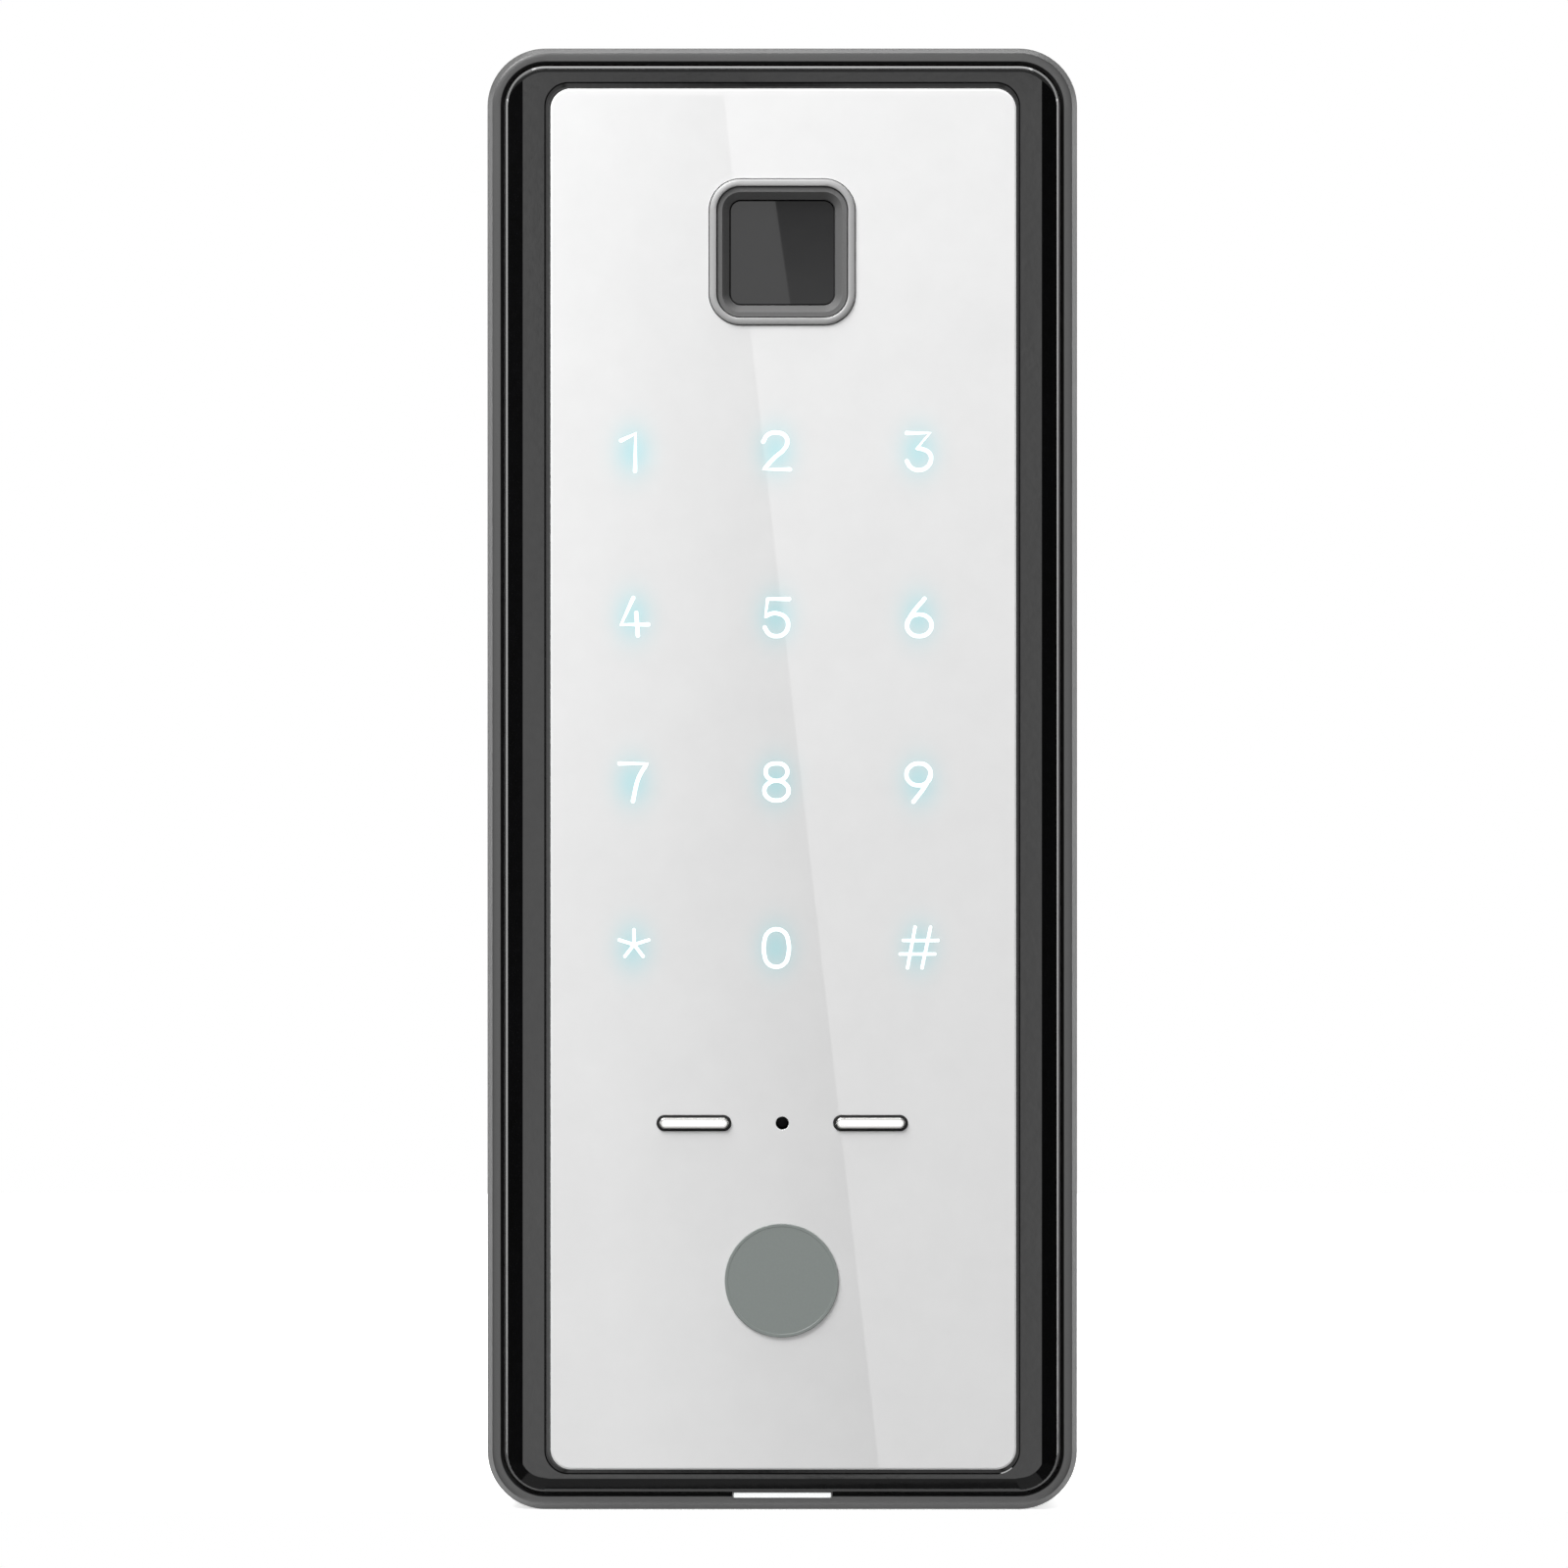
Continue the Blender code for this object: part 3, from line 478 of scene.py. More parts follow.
# two cards above it, which only the tilted lens of the reader reflects: one bright, one dim
lensCards = dict(low=0.235, high=0.33, splitLow=0.0052, splitHigh=-0.0086, bright=1.5,
                 dimHigh=0.38, dimLow=0.98, fadeFrom=0.30, fadeTo=0.25)
k = lensCards
readerPaint = bpy.data.materials.new("readerCardFabric")
readerPaint.use_nodes = True
readerShader = readerPaint.node_tree.nodes["Principled BSDF"]
readerShader.inputs["Base Color"].default_value = (0, 0, 0, 1)
readerShader.inputs["Emission Color"].default_value = (1, 1, 1, 1)
readerShader.inputs["Emission Strength"].default_value = k["bright"]
uprightCard("readerCard", ((-half, k["low"]), (k["splitLow"], k["low"]), (k["splitHigh"], k["high"]),
                           (-half, k["high"])), readerPaint)
shadePaint, tree = clearPaint("readerShadeFabric")
height = addNode(tree, "SeparateXYZ", {"Vector": addNode(tree, "TexCoord").outputs["Object"]})
fade = addNode(tree, "MapRange", {"Value": height.outputs["Z"], "From Min": k["fadeFrom"],
                                  "From Max": k["fadeTo"], "To Min": k["dimHigh"],
                                  "To Max": k["dimLow"]})
glowOnly(tree, fade.outputs[0])
uprightCard("readerShade", ((k["splitLow"], k["low"]), (half, k["low"]), (half, k["high"]),
                            (k["splitHigh"], k["high"])), shadePaint)

# a dim apron below the view: the lower slope of the moulding reflects it
apron = dict(half=0.16, front=-0.20, back=-0.06, up=-0.25, glow=0.35)
apronPaint, tree = clearPaint("apronFabric")
glowOnly(tree, apron["glow"])
stagePlate("apron", [(side * apron["half"], y, apron["up"]) for side, y in
                     ((-1, apron["front"]), (1, apron["front"]), (1, apron["back"]),
                      (-1, apron["back"]))], apronPaint, seen=False)
print("studio made")


whole = outlineOf("outer_frame")
corner = 7.1


def inset(amount, depth, least=1.0):
    return drawnIn(whole, amount), max(corner - amount, least), depth


# insets from the outer outline, from the back forward over the brow and down to the inner ledge
frameCasting = dict(steps=18, softMm=0.07, chamferMm=0.8, brow=0.62, ridge=0.95, lip=1.62,
                    groove=1.92, ledge=3.0, ledgeDepth=17.0, creaseDegrees=21)
f = frameCasting
frameBack, frameFront = depthOf("outer_frame")
bm = loft([
    inset(0.0, frameBack), inset(0.0, frameFront - f["chamferMm"]), inset(f["brow"], frameFront - 0.1),
    inset(f["ridge"], frameFront), inset(f["lip"], frameFront), inset(f["groove"], frameFront - 0.4),
    inset(f["groove"], f["ledgeDepth"]), inset(f["ledge"], f["ledgeDepth"]),
    inset(f["ledge"], frameBack),
], ring=True, steps=f["steps"])
barLeft, barBottom, barRight, barTop = outlineOf("light_bar")
notch = [barLeft - 0.15, barBottom + 0.05, barRight + 0.15, barBottom + 2.3]
bm = carve(bm, loft([(notch, 0.1, 12.3), (notch, 0.1, frameFront + 1)], steps=1))
soften(bm, f["softMm"], degrees=40)
finishPiece(bm, "frameCasting", "satinZincCasting", ["outer_frame"],
            creaseDegrees=f["creaseDegrees"])

# side, top and bottom are the insets of the flat border round the glass
caseMoulding = dict(
    steps=18, border=21.7, side=4.37, top=3.11, bottom=3.95, borderCorner=4.0, cornerRun=1.5,
    edge=2.31, edgeWidth=0.25, edgeFall=0.24, shoulderDrop=1.0, rimBack=17.3, skirt=3.4,
    skirtBack=8.3, cavity=5.2, ceiling=17.6, pocketFloor=19.0, pocketGap=0.3, lipMm=0.16,
    lipDrop=0.10, bossRadius=4.0, pilotRadius=1.65, lampRadius=4.25, creaseDegrees=10,
)
c = caseMoulding
glassOutline = outlineOf("glass_panel")
glassCorner = 2.5
pocket = drawnIn(glassOutline, -c["pocketGap"])
pocketCorner = glassCorner + c["pocketGap"]
shoulder = c["border"] - c["shoulderDrop"]
bm = loft([
    (pocket, pocketCorner, c["pocketFloor"]), (pocket, pocketCorner, c["border"] - c["lipDrop"]),
    (drawnIn(pocket, -c["lipMm"]), pocketCorner + c["lipMm"], c["border"]),
    (drawnIn(whole, c["top"], c["top"], c["bottom"]), c["borderCorner"], c["border"]),
    inset(c["edge"] + c["edgeWidth"], shoulder), inset(c["edge"], shoulder - c["edgeFall"]),
    inset(c["edge"], c["rimBack"]), inset(c["skirt"], c["rimBack"]),
    inset(c["skirt"], c["skirtBack"]), inset(c["cavity"], c["skirtBack"]),
    inset(c["cavity"], c["ceiling"]),
], steps=c["steps"])


def shaveSlope(bm, start, end, along):
    # cuts away all that stands in front of the plane from start to end
    front = (end - start).cross(along)
    front = front if front.y < 0 else -front
    bmesh.ops.bisect_plane(bm, geom=bm.verts[:] + bm.edges[:] + bm.faces[:], dist=1e-4,
                           plane_co=start, plane_no=front.normalized(), clear_outer=True)
    rim = [edge for edge in bm.edges if len(edge.link_faces) == 1]
    bmesh.ops.holes_fill(bm, edges=rim)


# the long sides fall away on flat slopes, the lower corners on rounded ones
lift = 0.012
shoulderInset = c["edge"] + c["edgeWidth"]
shoulderLift, borderLift = Vector((0, lift - shoulder, 0)), Vector((0, lift - c["border"], 0))
for side in (-1, 1):
    shaveSlope(bm, Vector((side * (whole[2] - shoulderInset), 0, 0)) + shoulderLift,
               Vector((side * (whole[2] - c["side"]), 0, 0)) + borderLift, Vector((0, 0, 1)))
    pivot = Vector((side * (whole[2] - corner), 0, whole[1] + corner))
    for degrees in range(9, 90, 9):
        out = Vector((side * math.cos(math.radians(degrees)), 0, -math.sin(math.radians(degrees))))
        reachOut = corner - shoulderInset
        shaveSlope(bm, pivot + out * reachOut + shoulderLift,
                   pivot + out * (reachOut - c["cornerRun"]) + borderLift,
                   out.cross(Vector((0, 1, 0))))
bmesh.ops.recalc_face_normals(bm, faces=bm.faces)

readerMiddle = middleOf("fingerprint_ring")
barPlaces = [middleOf("power_contact_left"), middleOf("power_contact_right")]
pinPlace = middleOf("reset_button")
keyPlaces = [middleOf(f"key_led_{k}") for k in range(1, 13)]
screwPlaces = [middleOf(f"case_screw_{k}") for k in range(1, 5)]


def pill(middle, length, height):
    return blockAt(middle, length, height), height / 2 - 0.001


def openings(sizes, back, front, lip=0.0):
    # cutters for the reader, both bars and the pinhole; lip flares their front edge
    tool = bmesh.new()
    ends = [(0.0, back), (0.0, front)]
    if lip:
        ends = [(0.0, back), (0.0, front - lip), (2 * lip, front + lip), (2 * lip, front + 1)]
    reader = sizes["reader"]
    loft([(blockAt(readerMiddle, reader + 2 * g, reader + 2 * g), sizes["readerCorner"] + g, d)
          for g, d in ends], steps=12, into=tool)
    for middle in barPlaces:
        loft([pill(middle, sizes["barLength"] + 2 * g, sizes["barHeight"] + 2 * g) + (d,)
              for g, d in ends], steps=10, into=tool)
    turned(pinPlace, [(0.0, back)] + [(sizes["pinhole"] / 2 + g, d) for g, d in ends]
           + [(0.0, ends[-1][1])], steps=32, into=tool)
    return tool


def rods(places, profile, steps=24):
    tool = bmesh.new()
    for middle in places:
        turned(middle, [(0.0, profile[0][1])] + profile + [(0.0, profile[-1][1])], steps, into=tool)
    return tool


mouldingOpenings = dict(reader=16.26, readerCorner=3.05, barLength=8.8, barHeight=1.7, pinhole=1.6)
under, over = c["ceiling"] - 1, c["pocketFloor"] + 1
bm = carve(bm, openings(mouldingOpenings, under, over))
bm = carve(bm, rods(keyPlaces, [(c["lampRadius"], under), (c["lampRadius"], over)], 32))
bm = carve(bm, rods(screwPlaces, [(c["bossRadius"], c["skirtBack"]),
                                  (c["bossRadius"], c["ceiling"] + 0.5)]), "UNION")
bm = carve(bm, rods(screwPlaces, [(c["pilotRadius"], 7.0), (c["pilotRadius"], 16.5)]))
slot = [barLeft - 0.3, barBottom - 0.2, barRight + 0.3, barBottom + 6.0]
bm = carve(bm, loft([(slot, 0.1, 12.3), (slot, 0.1, 14.4)], steps=1))
finishPiece(bm, "frontMoulding", "pianoBlackAbs", ["front_case"],
            creaseDegrees=c["creaseDegrees"])
print("frame and front moulding made")


# painted glow: a pale cyan patch painted into the glass colour round each key legend, standing in for the
# light that the legends throw
paintedGlow = dict(pitchAcross=17.4, pitchUp=20.15, middle=(-0.8, 9.71), reachAcross=1.55, reachUp=2.1,
            paintedGlowTint="#a0eef6", strength=0.54)


def paintedGlassFinish():
    # toughened glass, painted white behind: flat and glossy, with a pale cyan painted glow in its colour
    # round each lit legend, standing in for the legends' light
    glass = grainedFinish("backPaintedGlass", dict(
        dark="#eeeeee", light="#f2f2f2", roughness=0.005, roughSpread=0.002, grainMm=4.0, bump=0.0,
        ior=1.52))
    tree = glass.node_tree
    shader = tree.nodes["Principled BSDF"]
    paint = shader.inputs["Base Color"].links[0].from_socket
    place = addNode(tree, "TexCoord").outputs["Object"]
    x, z = paintedGlow["middle"]
    centred = addNode(tree, "VectorMath", {0: place, 1: (x / 1000, 0, z / 1000)}, operation="SUBTRACT")
    half = (paintedGlow["pitchAcross"] / 2000, 1.0, paintedGlow["pitchUp"] / 2000)
    # the rows lie half a pitch off the middle, the columns on it
    rowShift = addNode(tree, "VectorMath", {0: centred.outputs[0], 1: (0, 0, half[2])}, operation="ADD")
    cell = addNode(tree, "VectorMath", {0: rowShift.outputs[0], 1: half, 2: [-v for v in half]},
                   operation="WRAP")
    spread = (700 / paintedGlow["reachAcross"], 0, 700 / paintedGlow["reachUp"])
    scaled = addNode(tree, "VectorMath", {0: cell.outputs[0], 1: spread}, operation="MULTIPLY")
    square = addNode(tree, "VectorMath", {0: scaled.outputs[0], 1: scaled.outputs[0]},
                     operation="DOT_PRODUCT")
    falling = addNode(tree, "Math", {0: square.outputs["Value"], 1: -1.0}, operation="MULTIPLY")
    glow = addNode(tree, "Math", {0: falling.outputs[0]}, operation="EXPONENT")
    parts = addNode(tree, "SeparateXYZ", {"Vector": centred.outputs[0]})
    amount = glow.outputs[0]
    for axis, limit in (("X", 1.5 * paintedGlow["pitchAcross"]), ("Z", 2.0 * paintedGlow["pitchUp"])):
        away = addNode(tree, "Math", {0: parts.outputs[axis]}, operation="ABSOLUTE")
        within = addNode(tree, "Math", {0: away.outputs[0], 1: limit / 1000}, operation="LESS_THAN")
        amount = addNode(tree, "Math", {0: amount, 1: within.outputs[0]}, operation="MULTIPLY").outputs[0]
    share = addNode(tree, "Math", {0: amount, 1: paintedGlow["strength"]}, operation="MULTIPLY")
    glowPaintedIn = addNode(tree, "Mix", {"Factor": share.outputs[0]}, data_type="RGBA")
    tree.links.new(paint, glowPaintedIn.inputs[6])
    glowPaintedIn.inputs[7].default_value = linear(paintedGlow["paintedGlowTint"])
    tree.links.new(glowPaintedIn.outputs[2], shader.inputs["Base Color"])
    return glass


finishes["backPaintedGlass"] = paintedGlassFinish()
glassBack, glassFront = depthOf("glass_panel")
glassPlate = dict(left=0.31, bottom=0.16, right=0.06, top=0.38, softMm=0.20, fallMm=0.09, lipMm=0.04)
glassOpenings = dict(reader=17.92, readerCorner=3.90, barLength=9.1, barHeight=1.94, pinhole=1.6)
g = glassPlate
plateOutline = [glassOutline[0] + g["left"], glassOutline[1] + g["bottom"],
                glassOutline[2] - g["right"], glassOutline[3] - g["top"]]
bm = loft([
    (plateOutline, glassCorner, glassBack), (plateOutline, glassCorner, glassFront - g["fallMm"]),
    (drawnIn(plateOutline, g["softMm"]), glassCorner - g["softMm"], glassFront),
], steps=14)
bm = carve(bm, openings(glassOpenings, glassBack - 1, glassFront, lip=g["lipMm"]))
finishPiece(bm, "glassPlate", "backPaintedGlass", ["glass_panel"])

badge = dict(rimMm=0.35, dishMm=0.03, raisedMm=0.18)
badgeAcross, badgeUp = middleOf("badge_disc")
badgeBack, badgeFront = depthOf("badge_disc")
badgeRadius = (outlineOf("badge_disc")[2] - outlineOf("badge_disc")[0]) / 2
rimInside = badgeRadius - badge["rimMm"]
bm = turned((badgeAcross, badgeUp + badge["raisedMm"]), [
    (0.0, badgeBack), (badgeRadius, badgeBack), (badgeRadius, badgeFront - 0.06),
    (badgeRadius - 0.06, badgeFront), (rimInside, badgeFront),
    (rimInside - 0.05, badgeFront - badge["dishMm"]),
    (0.0, badgeFront - badge["dishMm"]),
], steps=96)
finishPiece(bm, "badgeDisc", "greyEnamel", ["badge_disc"])

# Strokes run through (across, up) points in millimetres from the key's middle. A point with a
# third value is a corner; the others are passed smoothly. A stroke that ends in "closed" is a loop.
legendStrokes = {
    "1": [[(-1.42, 1.40, 1), (0.33, 2.28, 1), (0.28, -2.50, 1)]],
    "2": [[(-1.52, 1.25), (-0.95, 2.15), (0.10, 2.42), (1.15, 2.02), (1.42, 1.15), (0.95, 0.20),
           (-0.10, -0.75), (-1.42, -2.28, 1), (1.72, -2.30, 1)]],
    "3": [[(-1.42, 2.36, 1), (1.36, 2.36, 1), (-0.18, 0.42, 1), (0.55, 0.28), (1.32, -0.22),
           (1.52, -1.00), (1.05, -1.98), (0.05, -2.38), (-0.95, -2.02), (-1.42, -1.25)]],
    "4": [[(0.05, 2.52, 1), (-1.42, -0.86, 1), (1.88, -0.86, 1)], [(0.42, 0.62, 1), (0.62, -2.26, 1)]],
    "5": [[(1.62, 2.40, 1), (-0.98, 2.40, 1), (-1.24, 0.18, 1), (-0.45, 0.55), (0.35, 0.52),
           (1.22, 0.02), (1.52, -0.92), (1.10, -1.95), (0.12, -2.36), (-0.85, -2.02), (-1.32, -1.25)]],
    "6": [[(0.72, 2.45, 1), (-1.02, 0.12), (-1.42, -1.00)],
          [(-1.42, -0.95), (-1.02, 0.02), (0.10, 0.42), (1.15, 0.02), (1.58, -0.95), (1.15, -1.95),
           (0.10, -2.36), (-1.00, -1.95), "closed"]],
    "7": [[(-1.62, 2.36, 1), (1.72, 2.36, 1), (0.72, 0.55), (0.02, -2.45, 1)]],
    "8": [[(0.10, 2.38), (1.10, 2.08), (1.42, 1.28), (1.05, 0.50), (0.10, 0.16), (-0.85, 0.50),
           (-1.22, 1.28), (-0.90, 2.08), "closed"],
          [(0.10, 0.16), (1.15, -0.22), (1.58, -1.10), (1.12, -2.02), (0.10, -2.36), (-0.92, -2.02),
           (-1.38, -1.10), (-0.95, -0.22), "closed"]],
    "9": [[(-0.62, -2.52, 1), (0.95, -0.25), (1.48, 1.00)],
          [(1.48, 0.98), (1.08, 2.00), (0.05, 2.38), (-1.02, 2.00), (-1.48, 0.98), (-1.05, -0.02),
           (0.00, -0.42), (1.05, -0.02), "closed"]],
    "star": [[(0.15, 0.44, 1), (0.15 + 1.88 * math.cos(math.radians(a)),
                                0.44 + 1.88 * math.sin(math.radians(a)), 1)]
             for a in (90, 18, -54, -126, 162)],
    "0": [[(0.08, 2.40), (1.12, 1.92), (1.54, 0.80), (1.54, -0.80), (1.12, -1.95), (0.08, -2.42),
           (-0.96, -1.95), (-1.38, -0.80), (-1.38, 0.80), (-0.96, 1.92), "closed"]],
    "hash": [[(-0.42, 2.66, 1), (-1.34, -2.56, 1)], [(1.46, 2.66, 1), (0.42, -2.56, 1)],
             [(-1.86, 0.96, 1), (2.36, 0.96, 1)], [(-2.24, -0.78, 1), (1.98, -0.78, 1)]],
}
legend = dict(strokeMm=0.50, fineStrokeMm=0.40, proudMm=0.03, depthMm=0.06, tall=0.95, loweredMm=0.10)


def strokeShape(points, middle, radius):
    # one stroke of a legend as a closed rod along a bent line, pressed nearly flat
    closed = points[-1] == "closed"
    points = [(p[0], p[1] * legend["tall"] - legend["loweredMm"], *p[2:]) for p in points if p != "closed"]
    curve = bpy.data.curves.new("stroke", "CURVE")
    curve.dimensions = "3D"
    curve.bevel_depth = radius
    curve.bevel_resolution = 3
    curve.resolution_u = 8
    curve.use_fill_caps = not closed
    spline = curve.splines.new("BEZIER")
    spline.bezier_points.add(len(points) - 1)
    spline.use_cyclic_u = closed
    for knot, point in zip(spline.bezier_points, points):
        knot.co = (middle[0] + point[0], 0.0, middle[1] + point[1])
        kind = "VECTOR" if len(point) == 3 else "AUTO"
        knot.handle_left_type = knot.handle_right_type = kind
    obj = bpy.data.objects.new("stroke", curve)
    scene.collection.objects.link(obj)
    bpy.context.view_layer.update()
    bm = bmesh.new()
    evaluated = obj.evaluated_get(bpy.context.evaluated_depsgraph_get())
    bm.from_mesh(evaluated.to_mesh())
    evaluated.to_mesh_clear()
    bpy.data.objects.remove(obj)
    bpy.data.curves.remove(curve)
    bmesh.ops.remove_doubles(bm, verts=bm.verts, dist=1e-4)
    if not closed:
        # a small ball rounds each open end
        ends = bmesh.new()
        for x, z in (points[0][:2], points[-1][:2]):
            ball = bmesh.ops.create_uvsphere(ends, u_segments=16, v_segments=8, radius=radius * 0.999)
            bmesh.ops.translate(ends, vec=(middle[0] + x, 0, middle[1] + z), verts=ball["verts"])
        bm = carve(bm, ends, "UNION")
    return bm


def legendShape(strokes, middle, fine):
    radius = legend["fineStrokeMm" if fine else "strokeMm"] / 2
    bm = strokeShape(strokes[0], middle, radius)
    for stroke in strokes[1:]:
        bm = carve(bm, strokeShape(stroke, middle, radius * 0.998), "UNION")
    flat = legend["depthMm"] / 2 / radius
    bmesh.ops.scale(bm, vec=(1, flat, 1), verts=bm.verts)
    depth = glassFront + legend["proudMm"] - legend["depthMm"] / 2
    bmesh.ops.translate(bm, vec=(0, -depth, 0), verts=bm.verts)
    bmesh.ops.recalc_face_normals(bm, faces=bm.faces)
    return bm


keyOrder = ["1", "2", "3", "4", "5", "6", "7", "8", "9", "star", "0", "hash"]
for sign, middle in zip(keyOrder, keyPlaces):
    bm = legendShape(legendStrokes[sign], middle, fine=sign in ("star", "hash"))
    finishPiece(bm, f"legend_{sign}", "litLegend", creaseDegrees=60)
print("glass, legends and badge made")


# the ring, the sloped well inside it, and the lens with the flange that holds it from behind
reader = dict(ringSize=17.72, ringCorner=3.80, wall=0.85, wellStep=0.72, window=12.7,
              windowCorner=1.3, tiltDegrees=2.0, wellFlange=22.0, wellFlangeCorner=4.0,
              wellFlangeFront=17.3, seat=14.4, seatCorner=1.8, seatFront=19.6, lensFlange=14.0,
              lensFlangeCorner=1.6, lensBack=18.7, lensFlangeFront=19.4)
ringBack, ringFront = depthOf("fingerprint_ring")


def squareAt(size, cornerRadius, depth):
    return blockAt(readerMiddle, size, size), cornerRadius, depth


r = reader
innerSize, innerCorner = r["ringSize"] - 2 * r["wall"], r["ringCorner"] - r["wall"]


def ringAt(inward, depth):
    return squareAt(r["ringSize"] - 2 * inward, r["ringCorner"] - inward, depth)


# the rim is crowned: a step up, a dome, and a rolled inner edge
bm = loft([
    ringAt(0.0, ringBack), ringAt(0.0, ringFront - 0.20), ringAt(0.05, ringFront - 0.12),
    ringAt(0.22, ringFront - 0.04), ringAt(0.50, ringFront), ringAt(r["wall"] - 0.08, ringFront),
    ringAt(r["wall"] - 0.02, ringFront - 0.06), ringAt(r["wall"], ringFront - 0.16),
    ringAt(r["wall"], ringBack),
], ring=True, steps=14)
finishPiece(bm, "readerRing", "satinChrome", ["fingerprint_ring"],
            creaseDegrees=50)

wellBack, wellFront = depthOf("fingerprint_well")
wellSize, wellCorner = innerSize - 0.2, innerCorner - 0.1
slope, mouth = innerSize - 2 * r["wellStep"], r["window"] + 0.2
windowFront = depthOf("sensor_window")[1]
bm = loft([
    squareAt(r["wellFlange"], r["wellFlangeCorner"], wellBack),
    squareAt(r["wellFlange"], r["wellFlangeCorner"], r["wellFlangeFront"]),
    squareAt(wellSize, wellCorner, r["wellFlangeFront"]),
    squareAt(wellSize, wellCorner, wellFront - 0.05),
    squareAt(wellSize - 0.1, wellCorner - 0.05, wellFront),
    squareAt(slope + 0.06, innerCorner - r["wellStep"] + 0.03, wellFront),
    squareAt(slope - 0.04, innerCorner - r["wellStep"] - 0.02, wellFront - 0.05),
    squareAt(mouth, r["windowCorner"] + 0.1, windowFront),
    squareAt(mouth, r["windowCorner"] + 0.1, r["seatFront"]),
    squareAt(r["seat"], r["seatCorner"], r["seatFront"]), squareAt(r["seat"], r["seatCorner"], wellBack),
], ring=True, steps=14)
finishPiece(bm, "readerWell", "greyMouldedAbs", ["fingerprint_well"])

bm = loft([
    squareAt(r["lensFlange"], r["lensFlangeCorner"], r["lensBack"]),
    squareAt(r["lensFlange"], r["lensFlangeCorner"], r["lensFlangeFront"]),
    squareAt(r["window"], r["windowCorner"], r["lensFlangeFront"]),
    squareAt(r["window"], r["windowCorner"], windowFront - 0.10),
    squareAt(r["window"] - 0.16, r["windowCorner"] - 0.08, windowFront),
], steps=14)
# the face of the lens leans back a little, top first
lean = math.tan(math.radians(r["tiltDegrees"]))
for vertex in bm.verts:
    if -vertex.co.y > windowFront - 0.11:
        vertex.co.y += (vertex.co.z - readerMiddle[1] + r["window"] / 2) * lean
finishPiece(bm, "readerWindow", "smokedPolycarbonate", ["sensor_window"])
print("reader made")


bars = dict(length=8.4, height=1.3, flangeMm=1.0, flangeFront=17.3, sealLength=8.98,
            sealHeight=1.80)
barBack, barFront = depthOf("power_contact_left")
sealBack, sealFront = depthOf("contact_seal_left")
for label, middle in zip(("left", "right"), barPlaces):
    flange = pill(middle, bars["length"] + 2 * bars["flangeMm"], bars["height"] + 2 * bars["flangeMm"])
    shank = pill(middle, bars["length"], bars["height"])
    rows = [flange + (barBack,), flange + (bars["flangeFront"],), shank + (bars["flangeFront"],),
            shank + (barFront - 0.16,)]
    for inward, drop in ((0.03, 0.09), (0.09, 0.05), (0.20, 0.02), (0.40, 0.0)):
        rows.append(pill(middle, bars["length"] - 2 * inward, bars["height"] - 2 * inward)
                    + (barFront - drop,))
    finishPiece(loft(rows, steps=10), f"contactBar_{label}", "brightNickel",
                [f"power_contact_{label}"], creaseDegrees=50)
    bm = loft([
        pill(middle, bars["sealLength"], bars["sealHeight"]) + (sealBack,),
        pill(middle, bars["sealLength"], bars["sealHeight"]) + (sealFront - 0.08,),
        pill(middle, bars["sealLength"] - 0.16, bars["sealHeight"] - 0.16) + (sealFront,),
        pill(middle, bars["length"] + 0.14, bars["height"] + 0.14) + (sealFront,),
        pill(middle, bars["length"] + 0.1, bars["height"] + 0.1) + (sealFront - 0.03,),
        pill(middle, bars["length"] + 0.1, bars["height"] + 0.1) + (sealBack,),
    ], ring=True, steps=10)
    finishPiece(bm, f"contactSeal_{label}", "nitrileRubber",
                [f"contact_seal_{label}"])

# an L of clear plastic: a front blade, and a foot that reaches back over its lamp
lightGuide = dict(back=12.6, footFront=14.1, footRise=0.3, bladeLow=0.15, bladeHigh=0.73, softMm=0.05)
u = lightGuide
blade = [barLeft, barBottom + u["bladeLow"], barRight, barBottom + u["bladeHigh"]]
bm = loft([(blade, 0.12, u["back"]), (blade, 0.12, frameFront - u["softMm"]),
           (drawnIn(blade, u["softMm"]), 0.12 - u["softMm"], frameFront)], steps=4)
foot = [barLeft, barBottom + u["footRise"], barRight, barTop]
bm = carve(bm, loft([(foot, 0.3, u["back"]), (foot, 0.3, u["footFront"])], steps=4), "UNION")
finishPiece(bm, "lightGuide", "frostedAcrylic", ["light_bar"])

# a black strip lies on the blade and keeps its light out of the groove
strip = [barLeft - 0.1, barBottom + u["bladeHigh"] + 0.01, barRight + 0.1, whole[1] + c["edge"] - 0.02]
bm = loft([(strip, 0.05, 14.5), (strip, 0.05, frameFront - 0.4)], steps=2)
finishPiece(bm, "lightTrap", "nitrileRubber")
print("contacts and light guide made")


rear = dict(steps=18, floor=2.0, rim=5.0, tongue=8.0, boss=4.5, seat=3.2, seatDepth=3.5, bore=1.75,
            postHole=4.3, plungerHole=2.65, plungerBoss=5.5, flare=0.2)
postPlaces = [middleOf("mounting_post_upper"), middleOf("mounting_post_lower")]
tamperPlace = middleOf("tamper_plunger")
outletMiddle = middleOf("cable_grommet")


def oval(grow, depth):
    return pill(outletMiddle, 16.0 + grow, 10.0 + grow) + (depth,)


bm = loft([
    inset(0.8, 0.0), inset(0.62, 0.08), inset(0.5, 0.3), inset(0.5, rear["rim"]),
    inset(3.4, rear["rim"]), inset(3.4, rear["tongue"]), inset(5.2, rear["tongue"]),
    inset(5.2, rear["floor"]),
], steps=rear["steps"])


def flaredHole(radius, depth):
    # a hole from the back, its mouth opened a little
    wide = radius + rear["flare"]
    return [(wide, -1.0), (wide, 0.0), (radius, rear["flare"]), (radius, depth)]


